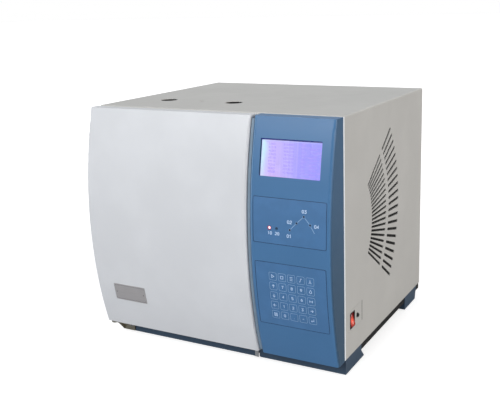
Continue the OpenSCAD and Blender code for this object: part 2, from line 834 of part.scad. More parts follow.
module detector_body() {
    base_z = shell_z1 + liner_t + seat;
    color("silver") placed() difference() {
        union() {
            rod_z(detector_x, port_y, injector_r, port_z0, gas_z);
            block(detector_x - 28, detector_x + 28, port_y - 28, port_y + 28, base_z, base_z + 4);
            rod_z(detector_x, port_y, detector_r, gas_z - 5.5, gas_z + 8);
        }
        rod_z(detector_x, port_y, 3, port_z0 + 8, gas_z + 10);
        rod_z(detector_x, port_y, column_r + seat, port_z0 - cut, port_z0 + 9);
    }
}

module detector_chimney() {
    z0 = gas_z + 8 + seat;
    color("lightsteelblue") placed() difference() {
        union() {
            rod_z(detector_x, port_y, detector_r, z0, z0 + 4);
            rod_z(detector_x, port_y, 11, z0, z0 + 20);
            rod_x(port_y, z0 + 12, 4, detector_x, detector_x + 30);
        }
        rod_z(detector_x, port_y, 5, z0 - cut, z0 + 21);
    }
}

module gas_manifold() {
    y0 = rear_in - seat - manifold_d;
    color("silver") placed() {
        difference() {
            block(manifold_x, manifold_x + manifold_w, y0, rear_in - seat,
                manifold_z, manifold_z + manifold_h);
            for (x = gas_xs)
                rod_y(x, manifold_z + 12, gas_stub_r - 1, rear_in - 12, rear_in + cut);
        }
        for (x = gas_xs) {
            rod_z(x, y0 + 20, 9, manifold_z + manifold_h - cut, manifold_z + manifold_h + 8);
            block(x - 11, x + 11, y0 + 9, y0 + 31, manifold_z + manifold_h + 7,
                manifold_z + manifold_h + 24);
        }
    }
}

module gas_lines() {
    y0 = rear_in - seat - manifold_d;
    bend_y = shell_y1 + 90;
    color("lightgray") placed() {
        run([injector_x, port_y + injector_r + seat, gas_z],
            [injector_x, y0 - seat, gas_z], line_r);
        path([[detector_x, port_y + detector_r + seat, gas_z],
            [detector_x, bend_y, gas_z], [gas_xs[2] - 10, bend_y, gas_z],
            [gas_xs[2] - 10, y0 - seat, gas_z]], line_r);
    }
}

module gas_inlets() {
    z = manifold_z + 12;
    color("goldenrod") placed() for (x = gas_xs) difference() {
        union() {
            translate([x, case_d + seat + 8, z]) rotate([90, 0, 0])
                cylinder(r = gas_stub_r + 3.5, h = 8, $fn = 6);
            rod_y(x, z, gas_stub_r, case_d + seat, case_d + rear_out);
            rod_y(x, z, gas_stub_r + 1, rear_in, case_d + 1);
        }
        rod_y(x, z, gas_stub_r - 2, rear_in - cut, case_d + rear_out + cut);
    }
}

// ---------- door ----------

module door_skin() {
    back = -door_back_gap;
    color("white") placed() difference() {
        curved_block(0, door_w, 0, face_top, back, front_r, face_edge_r);
        curved_block(skin_t, door_w - skin_t, skin_t, face_top - skin_t, back + cut,
            front_r - skin_t, face_edge_r - skin_t);
        // The upper hinge bracket reaches in through the left side
        block(-cut, skin_t + face_edge_r, -pivot_y - 10, back + cut,
            tongue_z - 2, tongue_z + bracket_t + 2);
        rod_z(pivot_x, -pivot_y, pin_r + 2, -cut, skin_t + cut);
    }
}

module door_liner() {
    y1 = -door_back_gap;
    color("lightsteelblue") placed() difference() {
        union() {
            block(liner_x0, liner_x1, y1 - liner_t, y1, liner_z0, liner_z1);
            block(plug_x0, plug_x1, y1 - liner_t, plug_depth, plug_z0, plug_z1);
        }
        block(plug_x0 + liner_t, plug_x1 - liner_t, y1 - liner_t - cut, plug_depth - liner_t,
            plug_z0 + liner_t, plug_z1 - liner_t);
    }
}

module door_insulation() {
    g = liner_t + seat;
    color("ivory") placed()
        block(plug_x0 + g, plug_x1 - g, -door_back_gap - 31, plug_depth - g,
            plug_z0 + g, plug_z1 - g);
}

module door_gasket() {
    x = (plug_x0 + plug_x1) / 2;
    z = (plug_z0 + plug_z1) / 2;
    w = plug_x1 - plug_x0 + 2 * gasket_side;
    h = plug_z1 - plug_z0 + 2 * gasket_end;
    color("lightgray") placed() difference() {
        front_slab(x, z, w + 2 * gasket_w, h + 2 * gasket_w, 8, -door_back_gap + seat,
            frame_y - play);
        front_slab(x, z, w, h, 4, -door_back_gap - cut, frame_y + cut);
    }
}

// Bushes inside the door that turn on the hinge pins
module door_pivots() {
    color("ivory") placed() for (z = [skin_t + seat, tongue_z - 2 - bush_h]) difference() {
        block(skin_t + seat, pivot_x + bush_w / 2, -pivot_y - bush_w / 2, -pivot_y + bush_w / 2,
            z, z + bush_h);
        rod_z(pivot_x, -pivot_y, pin_r + running_clearance, z - cut, z + bush_h + cut);
    }
}

module nameplate() {
    color("gray") placed()
        curved_film(82, 80.5, 78, 36, 1.5, front_r + 0.9, 0.8);
}

module strike_plate() {
    color("silver") placed()
        block(catch_x, catch_x + catch_w, -door_back_gap + seat, -door_back_gap + 1,
            catch_z - catch_h / 2 + 2, catch_z + catch_h / 2 - 2);
}

// Flange with a gusset at its left end and an arm to the pivot
module hinge_bracket_lower() {
    z = -bracket_t - 2;
    back = tray_y - seat;
    foot = bar_z + 0.5;
    color("tan") placed() difference() {
        union() {
            block(bracket_x0, bracket_x1, back - bracket_t, back, foot, z + bracket_t);
            block(bracket_x0, bracket_x1, -pivot_y, back, z, z + bracket_t);
            translate([bracket_x0, 0, 0]) rotate([90, 0, 90]) linear_extrude(bracket_t)
                polygon([[-pivot_y, z + 1], [-pivot_y, z], [back - bracket_t, foot],
                    [back - 1, foot], [back - 1, z + 1]]);
            block(pivot_x, bracket_x1, -pivot_y - 4, -pivot_y + 9, z, z + bracket_t);
            rod_z(pivot_x, -pivot_y, 8, z, z + bracket_t);
        }
        rod_z(pivot_x, -pivot_y, pin_r, z - cut, z + bracket_t + cut);
    }
}

module hinge_bracket_upper() {
    z = tongue_z;
    color("tan") placed() difference() {
        union() {
            block(pivot_x + 2, pivot_x + 32, frame_back + seat, frame_back + seat + bracket_t,
                    z - 20, inner_top - 8);
            block(pivot_x + 2, pivot_x + 32, -pivot_y, frame_back + seat + 1, z, z + bracket_t);
            rod_z(pivot_x, -pivot_y, 7, z, z + bracket_t);
        }
        rod_z(pivot_x, -pivot_y, pin_r, z - cut, z + bracket_t + cut);
        block(pivot_x + 8, pivot_x + 33, -pivot_y - 8, -pivot_y + 8, z - cut, z + bracket_t + cut);
    }
}

module hinge_pins() {
    low = -bracket_t - 2;
    color("silver") placed() {
        rod_z(pivot_x, -pivot_y, pin_r, low, skin_t + seat + bush_h);
        // Washer that carries the door
        rod_z(pivot_x, -pivot_y, pin_r + 1.5, low + bracket_t, skin_t + seat - play);
        rod_z(pivot_x, -pivot_y, pin_r, tongue_z - 2 - bush_h, tongue_z + bracket_t);
        rod_z(pivot_x, -pivot_y, pin_r + 2, tongue_z + bracket_t, tongue_z + bracket_t + 3);
    }
}

module catch_magnet() {
    color("dimgray") placed()
        block(catch_x, catch_x + catch_w, -door_back_gap + 1 + play, frame_y - seat,
            catch_z - catch_h / 2, catch_z + catch_h / 2);
}

// ---------- control panel ----------

module control_panel() {
    inner = front_r - skin_t;
    x0 = panel_x;
    x1 = case_w;
    z0 = -face_drop;
    color("steelblue") placed() difference() {
        union() {
            difference() {
                curved_block(x0, x1, z0, face_top, -seat, front_r, panel_edge_r);
                curved_block(x0 + skin_t, x1 - skin_t, z0 + skin_t, face_top - skin_t, cut,
                    inner, panel_edge_r - skin_t);
            }
            // Bosses for the fixing screws and for the boards
            intersection() {
                curved_block(x0, x1, z0, face_top, -seat, front_r - skin_t / 2, panel_edge_r);
                union() {
                    for (x = [x0 + boss_in, x1 - boss_in], z = boss_zs)
                        rod_y(x, z, boss_r, -bulge, 0);
                    for (s = [-1, 1], z = [panel_board_z0 + 10, panel_board_z1 - 10])
                        rod_y(panel_mid + s * (panel_board_x - post_r), z, post_r, -bulge,
                            panel_board_y - seat);
                    on_face(window_x, window_a)
                        for (x = [-1, 1] * (board_w / 2 - 4), z = [-1, 1] * (board_h / 2 - 4))
                            rod_y(x, z, 3, 0, window_seat + window_t + glass_t + 2);
                }
            }
        }
        on_face(window_x, window_a) front_slab(0, 0, window_w, window_h, 1.5, -5, skin_t + 3);
        curved_film(panel_mid, status_z, status_w + 2 * play, status_h + 2 * play, 3,
            front_r + cut, film_t + cut);
        curved_film(panel_mid, keypad_z, keypad_w + 2 * play, keypad_h + 2 * play, 3,
            front_r + cut, film_t + cut);
        for (x = lamp_xs) rod_y(panel_mid + x, lamp_z, lamp_r + play, -bulge - cut, -40);
        front_slab(panel_mid, key_tail_z, 30, 3, 1, -bulge - cut, panel_board_y - 2);
        for (x = [x0 + boss_in, x1 - boss_in], z = boss_zs) rod_y(x, z, 1.7, -12, cut);
    }
}

module display_window() {
    color([0.75, 0.75, 0.85, 0.4]) placed() on_face(window_x, window_a)
        front_slab(0, 0, window_w + 6, window_h + 6, 2, window_seat, window_seat + window_t);
}

module lcd_glass() {
    y = window_seat + window_t + seat;
    color([0.55, 0.5, 0.95]) placed() on_face(window_x, window_a)
        front_slab(0, 0, window_w + 2, window_h + 2, 0.5, y, y + glass_t);
}

module lcd_module() {
    y = window_seat + window_t + seat;
    color("darkgreen") placed() on_face(window_x, window_a) {
        front_slab(0, 0, board_w, board_h, 1, y + glass_t + 2, y + glass_t + 2 + board_t);
        difference() {
            front_slab(0, 0, window_w + 10, window_h + 14, 1, y, y + glass_t + 2.1);
            front_slab(0, 0, window_w + 2 + 2 * seat, window_h + 2 + 2 * seat, 0.5, y - cut,
                y + glass_t + seat);
        }
    }
}

module status_film() {
    color("steelblue") placed() difference() {
        curved_film(panel_mid, status_z, status_w, status_h, 3, front_r, film_t - 0.05);
        for (x = lamp_xs) rod_y(panel_mid + x, lamp_z, lamp_r + seat, -bulge - cut, -40);
    }
}

// Printed membrane with slightly raised key fields
module keypad_film() {
    first = -(key_count - 1) / 2;
    color("steelblue") placed() {
        curved_film(panel_mid, keypad_z, keypad_w, keypad_h, 3, front_r, film_t - 0.05);
        intersection() {
            curved_ring(panel_x, case_w, front_r + 0.35, film_t, 0.2);
            for (i = [0 : key_count - 1], j = [0 : key_count - 1])
                front_slab(panel_mid + keys_right + (first + i) * key_pitch,
                    keypad_z - keys_down + (first + j) * row_pitch,
                    key_size, key_size, 2, -bulge - 5, -40);
        }
    }
}

module indicator_lamps() {
    color("red") placed() for (x = lamp_xs) {
        rod_y(panel_mid + x, lamp_z, lamp_r, -bulge + lamp_r + play, panel_board_y - seat);
        translate([panel_mid + x, -bulge + lamp_r + play, lamp_z]) sphere(lamp_r);
    }
}

module panel_board() {
    y = panel_board_y;
    color("darkgreen") placed() {
        block(panel_mid - panel_board_x, panel_mid + panel_board_x, y, y + board_t,
            panel_board_z0, panel_board_z1);
        block(panel_mid - 20, panel_mid + 20, y + board_t - seat, y + 10,
            panel_board_z0 + 15, panel_board_z0 + 25);
        for (z = [75 : 40 : 155])
            block(panel_mid - 15, panel_mid + 15, y + board_t - seat, y + 4,
                panel_board_z0 + z, panel_board_z0 + z + 22);
    }
}

// ---------- power switch on the right side ----------

// Stepped plate that fills the opening in the cover's side
module switch_plate() {
    hw = rocker_w / 2 + play + body_wall + seat;
    hh = rocker_h / 2 + rocker_room + body_wall + seat;
    color("gainsboro") placed() difference() {
        union() {
            side_slab(plate_y0 + play, plate_y1 - play, plate_z0 + play, plate_z1 - play,
                plate_r - play, case_w - sheet_t, case_w);
            block(case_w - 2 * sheet_t - seat, case_w - sheet_t - seat, plate_y0, plate_y1 + 4,
                plate_z0 - 4, plate_z1 + 4);
            block(case_w - 2 * sheet_t, case_w - sheet_t + seat, plate_y0 + 2, plate_y1 - 2,
                plate_z0 + 2, plate_z1 - 2);
        }
        block(case_w - 10, case_w + cut, switch_y - hw, switch_y + hw,
            switch_z - hh, switch_z + hh);
        rod_x(fuse_y, switch_z, fuse_r + 1 + seat, case_w - 10, case_w + cut);
    }
}

module switch_body() {
    hw = rocker_w / 2 + play;
    hh = rocker_h / 2 + rocker_room;
    color([0.12, 0.12, 0.12]) placed() {
        difference() {
            union() {
                block(case_w - body_depth, case_w + seat, switch_y - hw - body_wall,
                    switch_y + hw + body_wall, switch_z - hh - body_wall, switch_z + hh + body_wall);
                side_slab(switch_y - hw - bezel_w, switch_y + hw + bezel_w,
                    switch_z - hh - bezel_w, switch_z + hh + bezel_w, bezel_w,
                    case_w + seat / 2, case_w + 0.8);
            }
            block(case_w - pivot_in - 8, case_w + 2, switch_y - hw, switch_y + hw,
                switch_z - hh, switch_z + hh);
            rod_y(case_w - pivot_in, switch_z, 1.5 + running_clearance, switch_y - hw - cut,
                switch_y + hw + cut);
        }
        for (z = [-8, 0, 8]) block(case_w - body_depth - 8, case_w - body_depth + 0.5,
            switch_y - 3, switch_y + 3, switch_z + z - 0.4, switch_z + z + 0.4);
    }
}

// Rocker at rest with its lower half standing out
module power_rocker() {
    h = rocker_h / 2;
    color("red") placed() translate([case_w - pivot_in, switch_y, switch_z])
        rotate([0, -rocker_tilt, 0]) {
            translate([0, rocker_w / 2, 0]) rotate([90, 0, 0]) linear_extrude(rocker_w)
                polygon([[-4, -h + 2], [0, -h], [pivot_in + 0.6, -h], [pivot_in - 1.2, 0],
                    [pivot_in + 0.6, h], [0, h], [-4, h - 2]]);
            rod_y(0, 0, 1.5, -rocker_w / 2 - 1.2, rocker_w / 2 + 1.2);
        }
}

module fuse_holder() {
    color([0.1, 0.1, 0.1]) placed() {
        rod_x(fuse_y, switch_z, fuse_r + 1, case_w - 34, case_w + 0.5);
        rod_x(fuse_y, switch_z, fuse_r + 1.6, case_w + seat / 2, case_w + 0.8);
        rod_x(fuse_y, switch_z, fuse_r, case_w, case_w + 3);
    }
}

// ---------- electronics bay ----------

module main_board() {
    x = main_board_x;
    top = x + board_t - seat;
    color("darkgreen") placed() translate([0, main_board_y, main_board_z]) {
        block(x, x + board_t, 0, main_board_w, 0, main_board_h);
        for (z = strip_zs) block(top, x + 14, 15, 35, z, z + strip_h);
        for (y = chip_ys, z = chip_zs) block(top, x + chip_h, y, y + chip_w, z, z + chip_w);
        for (z = can_zs) rod_x(can_y, z, can_r, top, x + can_h);
    }
}

module transformer() {
    w = transformer_w;
    d = transformer_d;
    h = transformer_h;
    color("gray") placed()
        translate([partition_x + transformer_in, case_d - transformer_front, tray_floor + seat]) {
        difference() {
            block(0, w, 0, d, 0, h);
            for (x = [limb_w, 4 * limb_w]) block(x, x + limb_w, -cut, d + cut, limb_w, h - limb_w);
        }
        // Winding round the middle limb
        difference() {
            block(limb_w + 1, w - limb_w - 1, -12, d + 12, limb_w + 1, h - limb_w - 1);
            block(2 * limb_w - seat, w - 2 * limb_w + seat, -seat, d + seat, 0, h);
        }
    }
}

module cooling_fan_frame() {
    y0 = rear_in - seat - cooler_d;
    color([0.13, 0.13, 0.13]) placed() difference() {
        union() {
            difference() {
                front_slab(cooler_x, cooler_z, cooler_w, cooler_w, 5, y0, rear_in - seat);
                rod_y(cooler_x, cooler_z, cooler_w / 2 - 3, y0 - cut, rear_in + cut);
            }
            rod_y(cooler_x, cooler_z, cooler_hub_r, y0, y0 + 4);
            for (a = [0 : 90 : 270]) translate([cooler_x, y0 + 0.5, cooler_z]) rotate([0, a, 0])
                translate([cooler_hub_r - 5, 0, -2.5]) cube([cooler_w / 2 - cooler_hub_r + 3.5, 3, 5]);
        }
        for (x = [-1, 1], z = [-1, 1])
            rod_y(cooler_x + x * (cooler_w / 2 - 5), cooler_z + z * (cooler_w / 2 - 5), 2.2,
                y0 - cut, rear_in + cut);
        rod_y(cooler_x, cooler_z, 2 + running_clearance, y0 - cut, y0 + 5);
    }
}

module cooling_fan_rotor() {
    y0 = rear_in - seat - cooler_d + 4 + play;
    tip = cooler_w / 2 - 4.5;
    color([0.13, 0.13, 0.13]) placed() {
        rod_y(cooler_x, cooler_z, cooler_hub_r, y0, y0 + cooler_d - 8);
        rod_y(cooler_x, cooler_z, 2, y0 - 4, y0 + 1);
        intersection() {
            rod_y(cooler_x, cooler_z, tip, y0, y0 + cooler_d - 8);
            for (i = [0 : 6]) translate([cooler_x, y0 + (cooler_d - 8) / 2, cooler_z])
                rotate([0, i * 360 / 7, 0]) rotate([40, 0, 0])
                    translate([cooler_hub_r - 2, -15, -0.8]) cube([tip, 30, 1.6]);
        }
    }
}

module fan_guard() {
    y = case_d + 1.5 + seat;
    color("silver") placed() {
        for (r = [12 : 8 : cooler_w / 2]) translate([cooler_x, y, cooler_z]) rotate([90, 0, 0])
            rotate_extrude($fn = 64) translate([r, 0]) circle(1, $fn = 16);
        for (a = [45 : 90 : 315]) translate([cooler_x, y, cooler_z]) rotate([0, a, 0]) {
            translate([11, 0, 0]) rotate([0, 90, 0]) cylinder(r = 1, h = cooler_w * 0.7 - 19);
            translate([cooler_w * 0.7 - 7, 1.5, 0]) rotate([90, 0, 0]) cylinder(r = 4, h = 3);
        }
    }
}

module power_inlet() {
    color([0.1, 0.1, 0.1]) placed() {
        difference() {
            union() {
                front_slab(inlet_x, inlet_z, 48, 27, 3, case_d + seat, case_d + 3);
                front_slab(inlet_x, inlet_z, 28, 22, 2, rear_in - 20, case_d + 2);
            }
            front_slab(inlet_x, inlet_z, 24, 17, 2, rear_in - 14, case_d + 4);
        }
        for (x = [-7, 0, 7]) front_slab(inlet_x + x, inlet_z + (x == 0 ? 3 : -2), 2, 5, 0.5,
            rear_in - 15, case_d + 1);
    }
}

module signal_connector() {
    color("silver") placed() {
        difference() {
            union() {
                front_slab(signal_x, signal_z, 31, 12.5, 1.5, case_d + seat, case_d + 1);
                front_slab(signal_x, signal_z, 17, 9, 2, rear_in - 8, case_d + 6);
            }
            front_slab(signal_x, signal_z, 15.4, 7.4, 1.2, case_d + 5.4, case_d + 7);
        }
        for (s = [-1, 1]) translate([signal_x + s * 12.5, case_d + 6, signal_z]) rotate([90, 0, 0])
            cylinder(r = 2.6, h = 5.5, $fn = 6);
    }
}

base_tray();
foot_bars();
foot_pads();
front_frame();
partition();
rear_panel();
outer_cover();
oven_shell();
oven_insulation();
oven_liner();
fan_baffle();
heater_coil();
heater_posts();
oven_fan();
oven_motor();
motor_bracket();
temperature_probe();
column();
column_nuts();
vent_ducts();
vent_flaps();
flap_motor();
injector_body();
septum_nut();
port_heater_blocks();
detector_body();
detector_chimney();
gas_manifold();
gas_lines();
gas_inlets();
door_skin();
door_liner();
door_insulation();
door_gasket();
door_pivots();
nameplate();
strike_plate();
hinge_bracket_lower();
hinge_bracket_upper();
hinge_pins();
catch_magnet();
control_panel();
display_window();
lcd_glass();
lcd_module();
status_film();
keypad_film();
indicator_lamps();
panel_board();
switch_plate();
switch_body();
power_rocker();
fuse_holder();
main_board();
transformer();
cooling_fan_frame();
cooling_fan_rotor();
fan_guard();
power_inlet();
signal_connector();
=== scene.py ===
"""Dresses the bench-top gas chromatograph: finishes, printed legends, fasteners, studio."""

from __future__ import annotations

import functools
import json
import logging
import math
import random
from dataclasses import dataclass
from enum import Enum
from typing import Callable, Sequence

import bmesh
import bpy
from mathutils import Matrix, Vector


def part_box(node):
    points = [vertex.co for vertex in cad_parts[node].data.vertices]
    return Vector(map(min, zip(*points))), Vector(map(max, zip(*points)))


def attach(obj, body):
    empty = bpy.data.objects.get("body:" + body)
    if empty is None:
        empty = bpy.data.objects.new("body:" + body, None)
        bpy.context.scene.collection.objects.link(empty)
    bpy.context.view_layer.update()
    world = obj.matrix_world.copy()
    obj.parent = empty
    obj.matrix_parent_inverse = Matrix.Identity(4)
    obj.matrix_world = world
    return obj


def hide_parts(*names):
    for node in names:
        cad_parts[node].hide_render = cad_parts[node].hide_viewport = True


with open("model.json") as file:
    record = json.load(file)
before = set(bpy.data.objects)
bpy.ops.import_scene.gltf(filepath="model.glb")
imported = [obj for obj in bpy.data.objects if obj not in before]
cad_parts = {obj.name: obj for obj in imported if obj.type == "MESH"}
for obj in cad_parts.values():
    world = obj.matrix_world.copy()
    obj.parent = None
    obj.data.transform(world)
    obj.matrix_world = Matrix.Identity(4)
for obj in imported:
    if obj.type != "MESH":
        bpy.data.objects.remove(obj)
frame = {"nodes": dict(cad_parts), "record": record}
log = logging.getLogger("chromatograph")

MM = 0.001

Colour = tuple[float, float, float]
Point = tuple[float, float, float]
Flat = tuple[float, float]
Lay = Callable[[float, float, float], Vector]

SHARP_FROM = math.radians(35)
HAIRLINE = 0.03
WHITE: Colour = (1.0, 1.0, 1.0)
BACKWARD: Point = (0.0, 1.0, 0.0)
FORWARD: Point = (0.0, -1.0, 0.0)


class Body(str, Enum):
    """The moving bodies that a piece can ride on."""

    CASE = "case"
    DOOR = "door"
    ROCKER = "rocker"


class Slot(str, Enum):
    """The record's material slots that are handed along with the added pieces."""

    FILM = "film_print"
    LCD = "lcd"
    STEEL = "bright_steel"
    GASKET = "gasket"
    BLACK = "black_plastic"
    PLATE = "plate_metal"


# ---------------- measures


@functools.lru_cache(maxsize=None)
def node_box(name: str) -> tuple[Vector, Vector]:
    """Lowest and highest corner of a node at rest, in metres."""
    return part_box(name)


class Case:
    """The case's own measures: x from its left side, y from its front plane, z from the cover's edge."""

    def __init__(self) -> None:
        """Measures the cover."""
        self.origin, far = node_box("outer_cover")
        self.width, self.depth, self.height = (far - self.origin) / MM

    def at(self, x: float, y: float, z: float) -> Vector:
        """Turns a case measure into a point of the frame.

        Args:
            x: Millimetres from the left side.
            y: Millimetres behind the front plane.
            z: Millimetres above the cover's lower edge.

        Returns:
            The point in metres.
        """
        return self.origin + Vector((x, y, z)) * MM

    def box(self, node: str) -> tuple[Vector, Vector]:
        """Lowest and highest corner of a node at rest, in case millimetres."""
        low, high = node_box(node)
        return (low - self.origin) / MM, (high - self.origin) / MM

    def span(self, node: str) -> tuple[Vector, Vector]:
        """Middle and size of a node at rest, in case millimetres."""
        low, high = self.box(node)
        return (low + high) / 2, high - low

    def on_side(self, u: float, v: float, t: float) -> Vector:
        """A point on the cover's right side: u behind the front plane, v up, t out."""
        return self.at(self.width + t, u, v)


@dataclass(frozen=True)
class CurvedFace:
    """The cylinder that the door and the control panel share."""

    case: Case
    radius: float = 840.0
    forward_z: float = 228.0

    @functools.cached_property
    def axis_y(self) -> float:
        """Distance of the cylinder's axis behind the front plane."""
        return self.radius + self.case.box("control_panel")[0].y

    def at(self, x: float, z: float, proud: float = 0.0) -> Vector:
        """A point on the face, or a little in front of it.

        Args:
            x: Millimetres from the left side.
            z: Millimetres above the cover's lower edge.
            proud: Millimetres out of the face.

        Returns:
            The point in metres.
        """
        rise = z - self.forward_z
        run = math.sqrt(self.radius**2 - rise**2)
        scale = (self.radius + proud) / self.radius
        return self.case.at(x, self.axis_y - run * scale, self.forward_z + rise * scale)

    def lay(self, middle: Vector, rise: float) -> Lay:
        """A function that lays print about a point, at a height over the face."""
        return lambda u, v, t: self.at(middle.x + u, middle.z + v, rise + t)


# ---------------- shader maths


def operator(operation: str, swapped: bool = False) -> Callable[[Signal, Signal | float], Signal]:
    """Makes the method behind one of Python's operators; swapped puts the signal second."""

    def method(self: Signal, other: Signal | float) -> Signal:
        """Adds the Math node."""
        values = (other, self) if swapped else (self, other)
        return self.tree.maths(operation, *values)

    return method


class Signal:
    """A node's output inside a shader expression."""

    def __init__(self, tree: Tree, socket: bpy.types.NodeSocket) -> None:
        """Keeps the socket and the tree that it belongs to."""
        self.tree = tree
        self.socket = socket

    __add__ = __radd__ = operator("ADD")
    __sub__ = operator("SUBTRACT")
    __rsub__ = operator("SUBTRACT", swapped=True)
    __mul__ = __rmul__ = operator("MULTIPLY")
    __truediv__ = operator("DIVIDE")
    __pow__ = operator("POWER")
    __gt__ = operator("GREATER_THAN")
    __lt__ = operator("LESS_THAN")

    def __abs__(self) -> Signal:
        """Size without its sign."""
        return self.tree.maths("ABSOLUTE", self)

    def smooth(self, low: float, high: float) -> Signal:
        """Smooth step from 0 at low to 1 at high."""
        settings = {"interpolation_type": "SMOOTHSTEP"}
        return self.tree.node("MapRange", settings, {0: self, 1: low, 2: high})

    def clamp(self) -> Signal:
        """The value kept from 0 to 1."""
        return self.tree.node("Clamp", {}, {0: self})


class Tree:
    """The nodes of a material or of the world."""

    def __init__(self, tree: bpy.types.NodeTree) -> None:
        """Takes over a node tree."""
        self.tree = tree

    def node(
        self,
        kind: str,
        settings: dict[str, object] | None = None,
        inputs: dict[int | str, object] | None = None,
        output: int | str = 0,
    ) -> Signal:
        """Adds a node.

        Args:
            kind: The node's type, without its prefix.
            settings: Its properties; "stops" fills a colour ramp.
            inputs: Values or signals by socket.
            output: The socket that is handed back.

        Returns:
            The chosen output.
        """
        made = self.tree.nodes.new(f"ShaderNode{kind}")
        for key, value in (settings or {}).items():
            if key == "stops":
                self._fill_ramp(made.color_ramp, value)
            else:
                setattr(made, key, value)
        for key, value in (inputs or {}).items():
            self.feed(made.inputs[key], value)
        return Signal(self, made.outputs[output])

    @staticmethod
    def _fill_ramp(ramp: bpy.types.ColorRamp, stops: Sequence[tuple[float, Colour]]) -> None:
        """Sets the stops of a colour ramp."""
        while len(ramp.elements) < len(stops):
            ramp.elements.new(position=1.0)
        for element, (place, colour) in zip(ramp.elements, stops):
            element.position = place
            element.color = (*colour, 1.0)

    def feed(self, socket: bpy.types.NodeSocket, value: object) -> None:
        """Links a signal to a socket, or sets its value."""
        if isinstance(value, Signal):
            self.tree.links.new(value.socket, socket)
        elif isinstance(value, tuple) and len(value) == 3 and socket.type == "RGBA":
            socket.default_value = (*value, 1.0)
        else:
            socket.default_value = value

    def maths(self, operation: str, *values: Signal | float) -> Signal:
        """Adds a Math node on these values."""
        return self.node("Math", {"operation": operation}, dict(enumerate(values)))

    def seen(self) -> Signal:
        """1 where the camera looks straight on or through the display window, else 0."""
        rays = ("Is Camera Ray", "Is Transmission Ray")
        return self.maths("MAXIMUM", *(self.node("LightPath", output=ray) for ray in rays))

    def show(self, output: str, share: Signal, surface: Signal, other: Signal) -> None:
        """Mixes two surfaces into the tree's output node, with the share of the second."""
        mixed = self.node("MixShader", {}, {0: share, 1: surface, 2: other})
        self.feed(self.tree.nodes[output].inputs["Surface"], mixed)


class Shader(Tree):
    """A material and the nodes that make it."""

    def __init__(self, name: str) -> None:
        """Starts a material that holds a Principled BSDF."""
        self.material = bpy.data.materials.new(name)
        self.material.use_nodes = True
        super().__init__(self.material.node_tree)
        self.bsdf = self.tree.nodes["Principled BSDF"]

    def set(self, **values: object) -> None:
        """Feeds the Principled BSDF; Base_Color stands for Base Color."""
        for key, value in values.items():
            self.feed(self.bsdf.inputs[key.replace("_", " ")], value)

    @functools.cached_property
    def place(self) -> Signal:
        """The point of the surface, in metres of the piece's own frame."""
        return self.node("TexCoord", output="Object")

    def axis(self, name: str) -> Signal:
        """One coordinate of the point, in metres."""
        return self.node("SeparateXYZ", {}, {0: self.place}, name)

    def normal(self, name: str) -> Signal:
        """One coordinate of the surface's direction."""
        facing = self.node("TexCoord", output="Normal")
        return self.node("SeparateXYZ", {}, {0: facing}, name)

    def noise(self, scale: float | Point, detail: float = 3.0) -> Signal:
        """Cloudy noise from 0 to 1.

        Args:
            scale: Features per metre, or one value for each axis where they are drawn out.
            detail: Octaves.

        Returns:
            The noise's value.
        """
        at = self.place
        if isinstance(scale, tuple):
            at = self.node("VectorMath", {"operation": "MULTIPLY"}, {0: at, 1: scale})
            scale = 1.0
        inputs = {"Vector": at, "Scale": scale, "Detail": detail}
        return self.node("TexNoise", {"noise_dimensions": "3D"}, inputs)

    def mix(self, share: Signal | float, a: object, b: object) -> Signal:
        """Mixes two colours, with the share of the second."""
        return self.node("Mix", {"data_type": "RGBA"}, {0: share, 6: a, 7: b}, 2)

    def tinted(self, colour: Colour, share: Signal | float, gain: float) -> Signal:
        """A colour that moves towards gain times itself by a share."""
        return self.mix(share, colour, tuple(min(1.0, part * gain) for part in colour))

    def bump(self, height: Signal, strength: float, distance: float) -> None:
        """Raises the surface by a height from 0 to 1, where 1 stands for a distance in millimetres."""
        inputs = {"Strength": strength, "Distance": distance * MM, "Height": height}
        self.set(Normal=self.node("Bump", {}, inputs))


# ---------------- finishes


class Finish:
    """The settings of a finish and the nodes that they make."""

    def build(self, name: str) -> bpy.types.Material:
        """Builds the finish's material."""
        shader = Shader(name)
        self.make(shader)
        return shader.material

    def make(self, shader: Shader) -> None:
        """Feeds the new material."""
        raise NotImplementedError


